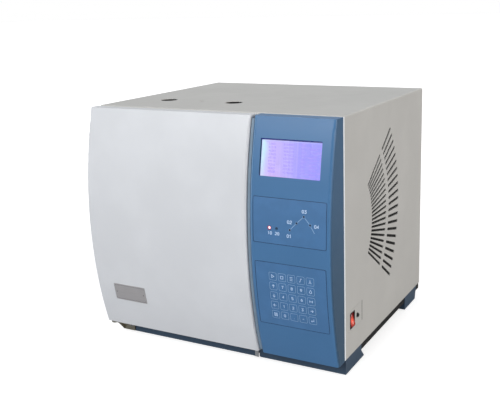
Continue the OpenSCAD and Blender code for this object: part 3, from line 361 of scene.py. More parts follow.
@dataclass(frozen=True)
class Paint(Finish):
    """Sprayed or powder-coated sheet metal."""

    colour: Colour
    roughness: float = 0.4
    peel: float = 0.25
    cloud: float = 1.06
    dust: float = 0.0
    # Painted shade: a darker colour for faces that turn sideways; None for none.
    side_shade: Colour | None = None
    # Painted highlight: x in metres of an upright line that is drawn paler; None for none.
    edge: float | None = None

    DUST = (0.62, 0.61, 0.59)
    HIGHLIGHT_COLOUR = (0.22, 0.38, 0.58)
    HIGHLIGHT_HALF = 0.9 * MM

    def make(self, shader: Shader) -> None:
        """Builds soft cloudiness, orange peel, fine grain, a little dust on top faces, painted shade on
        faces that turn sideways and a painted highlight along one upright line.
        """
        cloud = shader.noise(9.0, 4.0)
        grain = shader.noise(2600.0, 2.0)
        body = shader.tinted(self.colour, cloud.smooth(0.35, 0.75), self.cloud)
        # Painted shade on faces that turn sideways, stronger towards the bottom.
        if self.side_shade:
            side_shade_mask = shader.normal("X").smooth(0.55, 0.95)
            low = 1 - shader.axis("Z").smooth(0.1, 0.45) * 0.35
            body = shader.mix(side_shade_mask * low, body, self.side_shade)
        # Painted highlight: a paler band along the upright line, on the upper part and not on upward
        # faces.
        if self.edge is not None:
            across = shader.axis("X")
            highlight_band = (across > self.edge - self.HIGHLIGHT_HALF) * (across < self.edge + self.HIGHLIGHT_HALF)
            highlight_band *= shader.axis("Z").smooth(0.16, 0.40) * (1 - shader.normal("Z").smooth(0.3, 0.6))
            body = shader.mix(highlight_band * 0.75, body, self.HIGHLIGHT_COLOUR)
        upward = shader.normal("Z").smooth(0.85, 0.99)
        settled = upward * shader.noise(38.0, 5.0).smooth(0.42, 0.7) * self.dust
        handled = shader.noise(26.0).smooth(0.45, 0.7) * 0.05
        shader.set(
            Base_Color=shader.mix(settled, body, self.DUST),
            Roughness=grain * 0.05 + handled + settled * 0.3 + (self.roughness - 0.03),
            IOR=1.46,
        )
        shader.bump(shader.noise(850.0, 2.0) * 0.8 + grain * 0.2, self.peel, 0.06)


@dataclass(frozen=True)
class Brushed(Finish):
    """Metal with a drawn or ground grain along one axis."""

    colour: Colour
    roughness: float = 0.32
    grain: Point = (60.0, 2400.0, 2400.0)
    tint: Colour | None = None
    tint_from: float = 0.62
    metal: float = 1.0

    def make(self, shader: Shader) -> None:
        """Builds streaks in colour, roughness and height, and a heat or handling tint."""
        streaks = shader.noise(self.grain)
        coat = shader.tinted(self.colour, streaks.smooth(0.3, 0.7), 0.88)
        if self.tint:
            patches = shader.noise(14.0).smooth(self.tint_from - 0.14, self.tint_from + 0.16)
            coat = shader.mix(patches * 0.2, coat, self.tint)
        smear = shader.noise(30.0, 4.0).smooth(0.4, 0.7) * 0.04
        roughness = streaks * 0.14 + smear + (self.roughness - 0.08)
        shader.set(Base_Color=coat, Metallic=self.metal, Roughness=roughness)
        shader.bump(streaks, 0.18, 0.03)


@dataclass(frozen=True)
class Galvanised(Finish):
    """Zinc-coated sheet with its crystal spangle."""

    colour: Colour = (0.56, 0.58, 0.60)
    crystals: float = 150.0

    def make(self, shader: Shader) -> None:
        """Builds the spangle from cells that differ in lightness and gloss."""
        cell = {"Vector": shader.place, "Scale": self.crystals}
        spangle = shader.node("TexVoronoi", {}, cell, "Color")
        tone = shader.node("SeparateColor", {}, {0: spangle}, 0)
        fine = shader.noise(700.0)
        shader.set(
            Base_Color=shader.tinted(self.colour, tone * 0.6 + fine * 0.3, 0.88),
            Metallic=0.85,
            Roughness=tone * 0.10 + fine * 0.06 + 0.38,
        )
        shader.bump(fine, 0.1, 0.03)


@dataclass(frozen=True)
class Moulded(Finish):
    """Injection-moulded plastic or rubber."""

    colour: Colour
    roughness: float = 0.45
    texture: float = 0.25
    texture_scale: float = 1500.0

    def make(self, shader: Shader) -> None:
        """Builds spark-eroded texture, slight flow clouds and worn shine."""
        spark = shader.noise(self.texture_scale, 2.0)
        flow = shader.noise(60.0, 2.0)
        shader.set(
            Base_Color=shader.tinted(self.colour, flow.smooth(0.4, 0.7), 1.12),
            Roughness=spark * 0.1 + flow * 0.06 + (self.roughness - 0.07),
            IOR=1.5,
        )
        shader.bump(spark, self.texture, 0.05)


@dataclass(frozen=True)
class Fibre(Finish):
    """Pressed ceramic fibre board."""

    colour: Colour = (0.80, 0.77, 0.70)
    strands: Point = (420.0, 420.0, 1900.0)

    def make(self, shader: Shader) -> None:
        """Builds long matted fibres over a soft, uneven face."""
        felt = shader.noise(1200.0, 4.0)
        matted = shader.noise(self.strands, 4.0) * 0.6 + felt * 0.4
        shader.set(
            Base_Color=shader.tinted(self.colour, matted, 0.82),
            Roughness=felt * 0.1 + 0.85,
        )
        shader.bump(matted, 0.7, 0.4)


@dataclass(frozen=True)
class Braid(Finish):
    """Braided glass rope: two sets of strands that cross on the slant."""

    colour: Colour = (0.66, 0.64, 0.58)
    strand: float = 2.4

    def make(self, shader: Shader) -> None:
        """Builds crossing strands with dark gaps and fuzz between them."""
        x, y, z = (shader.axis(name) for name in "XYZ")
        step = math.tau / (self.strand * MM)
        one, two = (abs(shader.maths("SINE", run * step)) for run in (x + z, x - z + y * 2.0))
        weave = shader.maths("MAXIMUM", one, two)
        fuzz = shader.noise(2400.0)
        shader.set(
            Base_Color=shader.tinted(self.colour, 1 - weave * 0.8 - fuzz * 0.2, 0.45),
            Roughness=fuzz * 0.1 + 0.8,
        )
        shader.bump(weave * 0.8 + fuzz * 0.2, 0.8, 0.5)


@dataclass(frozen=True)
class Board(Finish):
    """Solder-masked circuit board with copper runs under the mask."""

    colour: Colour = (0.012, 0.11, 0.035)
    pitch: float = 420.0
    share: float = 0.45

    def make(self, shader: Shader) -> None:
        """Builds right-angled copper runs and a glossy mask."""
        along = shader.axis("Z") * self.pitch
        across = shader.axis("Y") * self.pitch + shader.axis("X") * self.pitch
        cell = shader.noise(70.0, 0.0)
        rows = shader.maths("FRACT", along + shader.maths("FLOOR", cell * 5.0) * 0.5) < self.share
        columns = shader.maths("FRACT", across) < self.share
        runs = shader.maths("MAXIMUM", rows * (cell > 0.5), columns * (cell < 0.5))
        shader.set(
            Base_Color=shader.tinted(self.colour, runs, 2.4),
            Roughness=cell * 0.1 + 0.25,
            Metallic=runs * 0.25,
        )
        shader.bump(runs, 0.25, 0.05)


@dataclass(frozen=True)
class Laminated(Finish):
    """Stack of thin varnished sheets."""

    colour: Colour = (0.10, 0.10, 0.11)
    sheet: float = 0.6

    def make(self, shader: Shader) -> None:
        """Builds the edges of the sheets as fine lines."""
        turns = shader.axis("Y") * (math.tau / (self.sheet * MM))
        sheet = shader.maths("SINE", turns) * 0.5 + 0.5
        varnish = shader.noise(120.0)
        shader.set(
            Base_Color=shader.tinted(self.colour, sheet * 0.5 + varnish * 0.5, 1.9),
            Roughness=varnish * 0.25 + 0.32,
            Metallic=0.5,
        )
        shader.bump(sheet, 0.4, 0.1)


@dataclass(frozen=True)
class Film(Finish):
    """Printed polyester film with a finely textured face."""

    colour: Colour = (0.055, 0.160, 0.340)
    gloss: float = 0.36

    def make(self, shader: Shader) -> None:
        """Builds even ink under a fine velvet texture."""
        velvet = shader.noise(3800.0, 1.0)
        touched = shader.noise(95.0).smooth(0.5, 0.7)
        shader.set(
            Base_Color=shader.tinted(self.colour, shader.noise(40.0).smooth(0.4, 0.7), 1.08),
            Roughness=velvet * 0.08 + touched * -0.06 + self.gloss,
            IOR=1.55,
        )
        shader.bump(velvet, 0.12, 0.02)


@dataclass(frozen=True)
class Ink(Finish):
    """Screen-printed ink, or the lit dots of the display; also used for painted shade, a painted shadow
    and a painted glow.
    """

    colour: Colour
    glow: float = 0.0

    def make(self, shader: Shader) -> None:
        """Builds slightly uneven ink, lit from behind where it glows."""
        screen = shader.noise(900.0, 2.0)
        tone = shader.tinted(self.colour, screen.smooth(0.4, 0.7), 0.9)
        shader.set(Base_Color=tone, Roughness=screen * 0.1 + 0.45)
        if self.glow:
            shader.set(Emission_Color=tone, Emission_Strength=self.glow)


@dataclass(frozen=True)
class Acrylic(Finish):
    """Clear display window."""

    clean: Colour = (0.95, 0.97, 1.0)
    smeared: Colour = (0.92, 0.94, 0.98)

    def make(self, shader: Shader) -> None:
        """Builds clear acrylic with faint smears on its gloss."""
        smear = shader.noise(70.0, 4.0).smooth(0.45, 0.7)
        shader.set(
            Base_Color=shader.mix(smear, self.clean, self.smeared),
            Roughness=smear * 0.05 + 0.03,
            Transmission_Weight=1.0,
            IOR=1.1,
        )


@dataclass(frozen=True)
class Display(Finish):
    """Back-lit display glass: lilac on the left, blue-violet on the right, in a dark mask."""

    low: Vector
    high: Vector
    glow: float = 0.92

    MASK_LEFT = 1.6
    MASK_RIGHT = 1.5
    MASK_BELOW = 1.4
    MASK_ABOVE = 3.6
    BACK_LIGHT = (
        (0.03, (0.62, 0.90, 1.0)),
        (0.09, (0.60, 0.60, 0.97)),
        (0.16, (0.60, 0.46, 0.92)),
        (0.42, (0.50, 0.41, 0.94)),
        (0.62, (0.36, 0.32, 0.95)),
        (0.98, (0.32, 0.29, 0.96)),
    )

    def make(self, shader: Shader) -> None:
        """Builds the back light's fall-off, faint column streaks and the mask round the lit field."""
        left, right = self.low.x + self.MASK_LEFT * MM, self.high.x - self.MASK_RIGHT * MM
        bottom, top = self.low.z + self.MASK_BELOW * MM, self.high.z - self.MASK_ABOVE * MM
        across, upward = shader.axis("X"), shader.axis("Z")
        along = (across - left) / (right - left)
        up = (upward - bottom) / (top - bottom)
        cloud = shader.noise(28.0) * 0.12
        ramp = {0: along + cloud - 0.06}
        tone = shader.node("ValToRGB", {"stops": self.BACK_LIGHT}, ramp)
        warm = (1 - up).smooth(0.55, 1.0) * (1 - along).smooth(0.5, 0.95)
        streak = shader.noise((230.0, 0.0, 3.0), 1.0).smooth(0.45, 0.7)
        lines = shader.noise((60.0, 0.0, 420.0), 2.0).smooth(0.5, 0.62)
        tone = shader.mix(warm * 0.35, tone, (0.72, 0.40, 0.84))
        tone = shader.mix(streak * (1 - along) * 0.45, tone, (0.74, 0.60, 0.97))
        tone = shader.mix(lines * along.smooth(0.55, 0.75) * 0.35, tone, (0.48, 0.34, 0.93))
        tone = shader.mix(up.smooth(0.93, 0.99) * 0.35, tone, (0.50, 0.58, 1.0))
        inside = (across > left) * (across < right) * (upward > bottom) * (upward < top)
        shader.set(
            Base_Color=shader.mix(inside, (0.006, 0.008, 0.03), (0.04, 0.04, 0.06)),
            Emission_Color=shader.mix(inside, (0.006, 0.014, 0.16), tone),
            Emission_Strength=self.glow,
            Roughness=cloud + 0.2,
        )


@dataclass(frozen=True)
class LitRocker(Finish):
    """Clear red rocker with its lamp showing through the middle, where the glow is also a painted
    highlight.
    """

    glow_and_highlight_spot: Point
    reach: float = 0.0125
    glow: float = 0.72

    def make(self, shader: Shader) -> None:
        """Builds the lamp's glow with a painted highlight in it, which dies away to dark red at the
        rocker's ends as painted shade.
        """
        distance = {"operation": "DISTANCE"}
        gap = shader.node("VectorMath", distance, {0: shader.place, 1: self.glow_and_highlight_spot}, 1)
        # Lamp glow and painted highlight near the spot; painted shade towards the ends.
        near = (1 - gap / self.reach).clamp()
        mould = shader.noise(600.0, 2.0)
        shader.set(
            Base_Color=shader.mix(near, (0.06, 0.003, 0.002), (0.60, 0.03, 0.02)),
            Roughness=mould * 0.06 + 0.10,
            Emission_Color=shader.mix(near**1.4, (0.12, 0.002, 0.002), (1.0, 0.17, 0.09)),
            Emission_Strength=self.glow,
            IOR=1.5,
        )
        shader.bump(mould, 0.08, 0.03)


@dataclass(frozen=True)
class Lamps(Finish):
    """Two tinted lamp lenses, the left one lit."""

    split: float
    glow: float = 1.6

    def make(self, shader: Shader) -> None:
        """Builds the lit and the dark lens by their place."""
        lit = shader.axis("X") < self.split
        shader.set(
            Base_Color=shader.mix(lit, (0.03, 0.06, 0.12), (0.9, 0.25, 0.25)),
            Emission_Color=shader.mix(lit, (0.0, 0.0, 0.0), (1.0, 0.62, 0.66)),
            Emission_Strength=self.glow,
            Roughness=shader.noise(900.0, 2.0) * 0.1 + 0.15,
        )


class Paintbox:
    """Builds each finish once and hands it out by name, which is a slot's name for every node."""

    # How far inside the panel's left side its painted highlight runs.
    HIGHLIGHT_INSET = 4 * MM
    LAMP_BEHIND = 2 * MM
    LAMP_BELOW = 3 * MM

    def __init__(self) -> None:
        """Lists the finish of every material slot and of the added pieces."""
        lamp_low, lamp_high = node_box("indicator_lamps")
        rocker_low, rocker_high = node_box("power_rocker")
        rocker = (rocker_low + rocker_high) / 2
        lamp_z = rocker.z - self.LAMP_BELOW
        # The blue panel gets painted shade on its sides and a painted highlight down its rounded left
        # edge.
        blue = Paint(
            (0.058, 0.164, 0.335),
            0.36,
            0.15,
            side_shade=(0.034, 0.084, 0.150),
            edge=node_box("control_panel")[0].x + self.HIGHLIGHT_INSET,
        )
        rod, sheet, wire = (300.0, 300.0, 2600.0), (60.0, 2200.0, 2200.0), (500.0, 500.0, 500.0)
        self.finishes: dict[str, Finish] = {
            "cover_paint": Paint((0.50, 0.50, 0.485), 0.46, 0.3, dust=0.12),
            "door_paint": Paint((0.64, 0.66, 0.69), 0.34, 0.12),
            "panel_paint": blue,
            "base_paint": Paint((0.042, 0.073, 0.118), 0.45, 0.2),
            "tray_steel": Paint((0.007, 0.007, 0.008), 0.7, 0.3),
            "motor_black": Paint((0.014, 0.014, 0.016), 0.32, 0.2),
            # Painted highlight: near-white bluish paint for the bead on the cover's front edge.
            "edge_highlight": Paint((0.90, 0.95, 1.0), 0.3, 0.05, cloud=1.0),
            "frame_steel": Galvanised(),
            "bracket_steel": Brushed((0.44, 0.42, 0.34), 0.34, (900.0, 900.0, 60.0), (0.16, 0.14, 0.10)),
            "stainless": Brushed((0.62, 0.61, 0.60), 0.3, (1800.0, 1800.0, 40.0), (0.52, 0.45, 0.34)),
            "bright_steel": Brushed((0.70, 0.70, 0.71), 0.2, rod),
            "aluminium": Brushed((0.74, 0.74, 0.75), 0.36, (40.0, 1500.0, 1500.0)),
            "brass": Brushed((0.72, 0.50, 0.22), 0.26, rod, (0.42, 0.27, 0.12)),
            "heater_wire": Brushed((0.16, 0.14, 0.13), 0.55, wire, (0.20, 0.10, 0.07), 0.5),
            "plate_metal": Brushed((0.42, 0.41, 0.42), 0.5, sheet, metal=0.25),
            "insulation": Fibre(),
            "gasket": Braid(),
            "film_print": Film(),
            "window": Acrylic(),
            "board": Board(),
            "lamination": Laminated(),
            "lcd": Display(*node_box("lcd_glass")),
            "red_plastic": LitRocker((rocker_high.x - self.LAMP_BEHIND, rocker.y, lamp_z)),
            "lamp": Lamps((lamp_low.x + lamp_high.x) / 2),
            "rubber": Moulded((0.012, 0.012, 0.013), 0.75, 0.4, 900.0),
            "black_plastic": Moulded((0.014, 0.014, 0.015), 0.42),
            "ceramic": Moulded((0.74, 0.72, 0.66), 0.35, 0.2, 2600.0),
            "magnet": Moulded((0.045, 0.045, 0.048), 0.6, 0.4),
            # Painted shade: near-black foam for the rings round the slots and the sheet behind them.
            "shade_foam": Moulded((0.006, 0.006, 0.006), 0.9, 0.6, 500.0),
            # Stands in for the light on the door's edge, seen in the gap beside the panel.
            "gap_light_strip": Moulded((0.18, 0.25, 0.325), 0.6, 0.2),
            "legend": Ink((0.28, 0.45, 0.68)),
            "legend_bright": Ink((0.50, 0.66, 0.90)),
            # Dark ink for the programme's dots, and painted shade round the films.
            "dark_ink_and_groove_shade": Ink((0.010, 0.025, 0.060)),
            # Painted glow: the lit lamp's light on the film round it, as a dark red ring that glows.
            "lamp_glow_ring": Ink((0.22, 0.02, 0.05), 0.25),
            "display_dots": Ink((0.22, 0.17, 0.70), 0.5),
            "plate_line": Ink((0.07, 0.07, 0.075)),
            # Painted shadow for the open joint behind the switch plate.
            "seam_shadow": Ink((0.05, 0.05, 0.05)),
            "rear_ink": Ink((0.03, 0.03, 0.035)),
            "white_ink": Ink((0.80, 0.62, 0.58)),
        }
        self.made: dict[str, bpy.types.Material] = {}

    def get(self, name: str) -> bpy.types.Material:
        """The material of a finish, built when it is first asked for."""
        if name not in self.made:
            self.made[name] = self.finishes[name].build(name)
        return self.made[name]

    def dress_nodes(self) -> None:
        """Gives every carried-over node the finish of its slot."""
        for part in frame["record"]["subparts"]:
            node = frame["nodes"][part["node"]]
            node.data.materials.clear()
            node.data.materials.append(self.get(part["material_slot"]))
            log.info("node %s: %s", part["node"], part["material_slot"])


# ---------------- mesh helpers


def add_piece(
    name: str,
    bm: bmesh.types.BMesh,
    material: bpy.types.Material,
    slot: Slot,
    body: Body = Body.CASE,
    smooth: bool = False,
) -> bpy.types.Object:
    """Turns a bmesh into a piece that rides on a body.

    Args:
        name: The piece's name.
        bm: Its shape in metres of the frame, which is freed.
        material: Its finish.
        slot: The record's slot of that finish; not used.
        body: The body that carries it.
        smooth: Whether gentle edges are shaded smooth.

    Returns:
        The new object.
    """
    bmesh.ops.recalc_face_normals(bm, faces=bm.faces)
    mesh = bpy.data.meshes.new(name)
    bm.to_mesh(mesh)
    bm.free()
    mesh.materials.append(material)
    piece = bpy.data.objects.new(name, mesh)
    bpy.context.collection.objects.link(piece)
    if smooth:
        mesh.shade_smooth()
        mesh.set_sharp_from_angle(angle=SHARP_FROM)
    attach(piece, body.value)
    log.info("piece %s: %d faces on %s", name, len(mesh.polygons), body.value)
    return piece


def loft(bm: bmesh.types.BMesh, rims: Sequence[Sequence[Vector]], looped: bool = False) -> None:
    """Adds a closed skin over a row of rims.

    Args:
        bm: The mesh that it goes into.
        rims: Rims with as many points each, in order along the shape.
        looped: Whether the last rim joins the first; otherwise both ends get a cap.
    """
    rows = [[bm.verts.new(point) for point in rim] for rim in rims]
    for low, high in zip(rows, rows[1:] + (rows[:1] if looped else [])):
        for i in range(len(low)):
            bm.faces.new((low[i - 1], low[i], high[i], high[i - 1]))
    if not looped:
        bm.faces.new(rows[0][::-1])
        bm.faces.new(rows[-1])


def arc(centre: Flat, radius: float, start: float, stop: float, steps: int) -> list[Flat]:
    """Points along an arc, both ends included, with angles in degrees."""
    angles = [math.radians(start + (stop - start) * i / steps) for i in range(steps + 1)]
    return [(centre[0] + radius * math.cos(a), centre[1] + radius * math.sin(a)) for a in angles]


def circle(centre: Flat, radius: float, count: int) -> list[Flat]:
    """Points round a circle, without the first one again at the end."""
    return arc(centre, radius, 0, 360 * (count - 1) / count, count - 1)


def rounded(width: float, height: float, radius: float, steps: int = 4) -> list[Flat]:
    """Outline of a rectangle with round corners about the origin, anticlockwise."""
    x, y = width / 2 - radius, height / 2 - radius
    corners = [(x, y, 0), (-x, y, 90), (-x, -y, 180), (x, -y, 270)]
    return [p for cx, cy, a in corners for p in arc((cx, cy), radius, a, a + 90, steps)]


def divided(outline: Sequence[Flat], step: float) -> list[Flat]:
    """A closed outline with its long sides cut into equal lengths of about a step."""
    points: list[Flat] = []
    for a, b in zip(outline, [*outline[1:], outline[0]]):
        count = max(1, round((Vector(b) - Vector(a)).length / step))
        points += [tuple(Vector(a).lerp(Vector(b), i / count)) for i in range(count)]
    return points


def evenly(outline: Sequence[Flat], step: float) -> list[Flat]:
    """Points at an even spacing along a closed line."""
    sides = list(zip(outline, [*outline[1:], outline[0]]))
    lengths = [(Vector(b) - Vector(a)).length for a, b in sides]
    count = max(8, round(sum(lengths) / step))
    points: list[Flat] = []
    side, passed = 0, 0.0
    for i in range(count):
        goal = sum(lengths) * i / count
        while side < len(sides) - 1 and passed + lengths[side] < goal:
            passed += lengths[side]
            side += 1
        a, b = sides[side]
        points.append(tuple(Vector(a).lerp(Vector(b), (goal - passed) / lengths[side])))
    return points


def strokes(*lines: str) -> list[list[Flat]]:
    """Reads strokes, each a row of x,y points in tenths of a numeral's width."""
    pairs = [[pair.split(",") for pair in line.split()] for line in lines]
    return [[(float(x) / 10, float(y) / 10) for x, y in line] for line in pairs]


NUMERAL_HEIGHT = 1.6
NUMERAL_PITCH = 1.55
ICON_WIDTH = 1.3

GLYPHS: dict[str, list[list[Flat]]] = {
    "0": strokes("0,3 3,0 7,0 10,3 10,13 7,16 3,16 0,13 0,3"),
    "1": strokes("2,12.5 6,16 6,0"),
    "2": strokes("0,13 3,16 7,16 10,13 10,10 0,0 10,0"),
    "3": strokes("0,16 10,16 4.5,10 8,9 10,6 10,3 7,0 3,0 0,2.5"),
    "4": strokes("7.5,0 7.5,16 0,5 10,5"),
    "5": strokes("9.5,16 1,16 0.5,9.5 6,10 10,7 10,3 7,0 3,0 0,2"),
    "6": strokes("9,16 4,14 0,8 0,3 3,0 7,0 10,3 10,6.5 7,9.5 0.5,9"),
    "7": strokes("0,16 10,16 4,0"),
    "8": strokes(
        "3,8.5 0,11 0,13.5 3,16 7,16 10,13.5 10,11 7,8.5",
        "7,8.5 3,8.5 0,6 0,3 3,0 7,0 10,3 10,6 7,8.5",
    ),
    "9": strokes("1,0 6,2 10,8 10,13 7,16 3,16 0,13 0,9.5 3,6.5 9.5,7"),
    "-": strokes("1,8 9,8"),
    ".": strokes("4,0.5 6,0.5"),
    "play": strokes("1,1 1,15 12,8 1,1"),
    "stop": strokes("0,2 0,14 12,14 12,2 0,2"),
    "list": strokes("0,15 13,15", "0,8 13,8", "0,1 13,1"),
    "ramp": strokes("0,1 3.5,1 8,15 13,15"),
    "peak": strokes("0,1 3.5,2 6.5,16 9.5,2 13,1"),
    "up": strokes("1,8 6.5,15 12,8", "6.5,15 6.5,0"),
    "down": strokes("1,8 6.5,1 12,8", "6.5,1 6.5,16"),
    "left": strokes("6,2 0,8 6,14", "0,8 13,8"),
    "right": strokes("7,2 13,8 7,14", "13,8 0,8"),
    "enter": strokes("12,15 12,5 0,5", "4,9 0,5 4,1"),
    "range": strokes("0,8 13,8", "0,13 0,3", "13,13 13,3"),
    "flame": strokes("6.5,0 1,4 3,10 6.5,16 10,10 12,4 6.5,0"),
    "pair": strokes("0,1 0,15 4.5,15 4.5,1 0,1", "8.5,1 8.5,15 13,15 13,1 8.5,1"),
}


class Print:
    """Flat ink shapes in millimetres that are laid on a face as thin closed solids."""

    SUNK = -0.05
    CIRCLE_SIDES = 24
    TINY = 1e-6
    MITRE = 0.5

    def __init__(self, lay: Lay, thickness: float = 0.12) -> None:
        """Starts a print.

        Args:
            lay: Turns millimetres to the right, up and out of the face into a point.
            thickness: How far the ink stands out.
        """
        self.lay = lay
        self.thickness = thickness
        self.bm = bmesh.new()

    def disc(self, u: float, v: float, radius: float) -> None:
        """Adds a dot."""
        outline = circle((u, v), radius, self.CIRCLE_SIDES)
        loft(self.bm, [[self.lay(*point, t) for point in outline] for t in (self.SUNK, self.thickness)])

    def stroke(self, points: Sequence[Flat], width: float, closed: bool = False) -> None:
        """Adds a line of even width with mitred corners.

        Args:
            points: The middle of the line.
            width: Its width.
            closed: Whether it ends where it starts.
        """
        sections = []
        count = len(points)
        for i, (u, v) in enumerate(points):
            before = points[i - 1] if closed or i else (u, v)
            after = points[(i + 1) % count] if closed or i < count - 1 else (u, v)
            one = Vector((u, v)) - Vector(before)
            two = Vector(after) - Vector((u, v))
            one = one.normalized() if one.length else two.normalized()
            two = two.normalized() if two.length else one
            square = Vector((-one.y, one.x))
            across = Vector((-one.y - two.y, one.x + two.x))
            across = across.normalized() if across.length > self.TINY else square
            across *= width / 2 / max(self.MITRE, abs(across.dot(square)))
            left, right = (u + across.x, v + across.y), (u - across.x, v - across.y)
            low = [self.lay(*side, self.SUNK) for side in (left, right)]
            high = [self.lay(*side, self.thickness) for side in (right, left)]
            sections.append(low + high)
        loft(self.bm, sections, closed)

    def ring(self, u: float, v: float, radius: float, width: float) -> None:
        """Adds a circle line."""
        self.stroke(circle((u, v), radius, self.CIRCLE_SIDES), width, True)

    def write(self, sign: str, u: float, v: float, size: float, width: float) -> None:
        """Adds a numeral, a number or a pictogram about a point.

        Args:
            sign: A name in GLYPHS, or a row of numerals.
            u: Middle, to the right.
            v: Middle, upwards.
            size: Width of one numeral.
            width: Width of the strokes.
        """
        signs = [sign] if sign in GLYPHS else list(sign)
        last = ICON_WIDTH if sign in GLYPHS and len(sign) > 1 else 1
        left = u - size * (NUMERAL_PITCH * (len(signs) - 1) + last) / 2
        bottom = v - size * NUMERAL_HEIGHT / 2
        for part in signs:
            for line in GLYPHS[part]:
                self.stroke([(left + x * size, bottom + y * size) for x, y in line], width)
            left += NUMERAL_PITCH * size

    def piece(
        self, name: str, material: bpy.types.Material, slot: Slot = Slot.FILM, body: Body = Body.CASE
    ) -> None:
        """Turns the print into a piece."""
        add_piece(name, self.bm, material, slot, body)


# ---------------- control panel


@dataclass
class Dressing:
    """What every set of added pieces is measured from and finished with."""

    case: Case
    face: CurvedFace
    paints: Paintbox


@dataclass
class PanelPrints(Dressing):
    """Everything printed or lit on the control panel's films and display, in millimetres."""

    key_pitch: float = 18.8
    row_pitch: float = 19.4
    key_side: float = 14.9
    key_corner: float = 2.2
    keys_right: float = 1.8
    keys_down: float = 2.0
    key_line: float = 0.6
    numeral: float = 3.1
    icon: float = 4.3
    sign_line: float = 0.95
    film_rise: float = 0.06
    key_rise: float = 0.36
    # Painted shade round the films, where they sit in their grooves:
    groove_shade_inset: float = 0.35
    groove_shade_line: float = 0.6
    groove_shade_thick: float = 0.02
    groove_shade_corner: float = 2.8
    groove_shade_step: float = 8.0
    lamp_z: float = 263.4
    lamp_gap: float = 0.9
    halo_line: float = 1.1
    lamp_label: Flat = (1.0, -9.4)
    dot: float = 1.9
    dot_ring: float = 2.35
    dot_line: float = 0.35
    dot_clear: float = 3.2
    programme_line: float = 1.0
    window_tilt: float = 11.050
    glass_behind: float = 4.95
    top_row: float = 24.5
    row_step: float = 6.2
    digit_step: float = 3.0
    rule: float = 0.35

    KEYS = (
        ("play", "stop", "list", "ramp", "peak"),
        ("up", "7", "8", "9", "flame"),
        ("down", "4", "5", "6", "range"),
        ("left", "1", "2", "3", "right"),
        ("pair", "0", ".", "-", "enter"),
    )
    # The programme's corners, each with its number and where the number stands from it.
    PROGRAMME = (
        ((1.8, 0.2), "01", (-1.5, -11.5)),
        ((15.3, 13.8), "02", (-14.0, 0.5)),
        ((29.3, 26.9), "03", (0.6, 9.0)),
        ((41.7, 12.9), "04", (12.5, -1.5)),
    )
    PROGRAMME_END = (50.3, -1.2)
    # Where the display's groups of numerals start, and how many numerals each has.
    GROUPS = ((-44.0, 5), (-14.0, 7), (20.0, 3), (37.0, 5))
    DISPLAY_ROWS = 9
    RULE_ACROSS = (-52.0, 52.0)
    RULE_UP = (-29.0, 28.4)
    RULE_AT = 16.0
    SEED = 7

    def build(self) -> None:
        """Prints the keypad, the status film and the display."""
        self._keypad()
        self._status()
        self._display()

    def _film(self, node: str, rise: float) -> Print:
        """Starts a print about a film's middle, at a height over the panel."""
        return Print(self.face.lay(self.case.span(node)[0], rise))

    def _groove_shade(self, name: str, node: str) -> None:
        """Prints painted shade round a film, along the groove that it sits in, as a piece of this name.
        """
        middle, size = self.case.span(node)
        width, height = (side - 2 * self.groove_shade_inset for side in (size.x, size.z))
        border = Print(self.face.lay(middle, self.film_rise), self.groove_shade_thick)
        outline = rounded(width, height, self.groove_shade_corner)
        border.stroke(divided(outline, self.groove_shade_step), self.groove_shade_line, closed=True)
        border.piece(name, self.paints.get("dark_ink_and_groove_shade"))

    def _keypad(self) -> None:
        """Prints the key outlines, the signs on them and the painted shade round the keypad film."""
        lines = self._film("keypad_film", self.film_rise)
        signs = self._film("keypad_film", self.key_rise)
        middle = (len(self.KEYS) - 1) / 2
        key = rounded(self.key_side, self.key_side, self.key_corner)
        for row, names in enumerate(self.KEYS):
            for column, sign in enumerate(names):
                u = self.keys_right + (column - middle) * self.key_pitch
                v = (middle - row) * self.row_pitch - self.keys_down
                lines.stroke([(u + a, v + b) for a, b in key], self.key_line, True)
                size = self.icon if len(sign) > 1 else self.numeral
                signs.write(sign, u, v, size, self.sign_line)
        self._groove_shade("keypad_groove_shade", "keypad_film")
        lines.piece("key_outlines", self.paints.get("legend"))
        signs.piece("key_signs", self.paints.get("legend_bright"))

    def _status(self) -> None:
        """Prints the lamps' labels, the temperature programme's diagram, the painted shade round the
        status film and a painted glow round the lit lamp.
        """
        self._groove_shade("status_groove_shade", "status_film")
        line, signs, dark, halo = (self._film("status_film", self.film_rise) for _ in range(4))
        middle, _ = self.case.span("status_film")
        low, high = self.case.box("indicator_lamps")
        radius = (high.z - low.z) / 2
        centres = [low.x + radius - middle.x, high.x - radius - middle.x]
        lift = self.lamp_z - middle.z
        corners = [Vector((u, v + lift)) for (u, v), _, _ in self.PROGRAMME]
        end = Vector(self.PROGRAMME_END) + Vector((0.0, lift))
        for a, b in zip(corners, [*corners[1:], end]):
            clear = (b - a).normalized() * self.dot_clear
            stop = b if b is end else b - clear
            line.stroke([tuple(a + clear), tuple(stop)], self.programme_line)
        for corner, (_, number, away) in zip(corners, self.PROGRAMME):
            dark.disc(*corner, self.dot)
            line.ring(*corner, self.dot_ring, self.dot_line)
            signs.write(number, *(corner + Vector(away)), size=3.2, width=1.3)
        for number, u in zip(("10", "20"), centres):
            right, up = self.lamp_label
            signs.write(number, u + right, lift + up, size=3.0, width=1.25)
        # Painted glow round the lit lamp.
        halo.ring(centres[0], lift, radius + self.lamp_gap, self.halo_line)
        halo.piece("lamp_halo", self.paints.get("lamp_glow_ring"))
        line.piece("programme_line", self.paints.get("legend"))
        signs.piece("status_numbers", self.paints.get("legend_bright"))
        dark.piece("programme_dots", self.paints.get("dark_ink_and_groove_shade"))

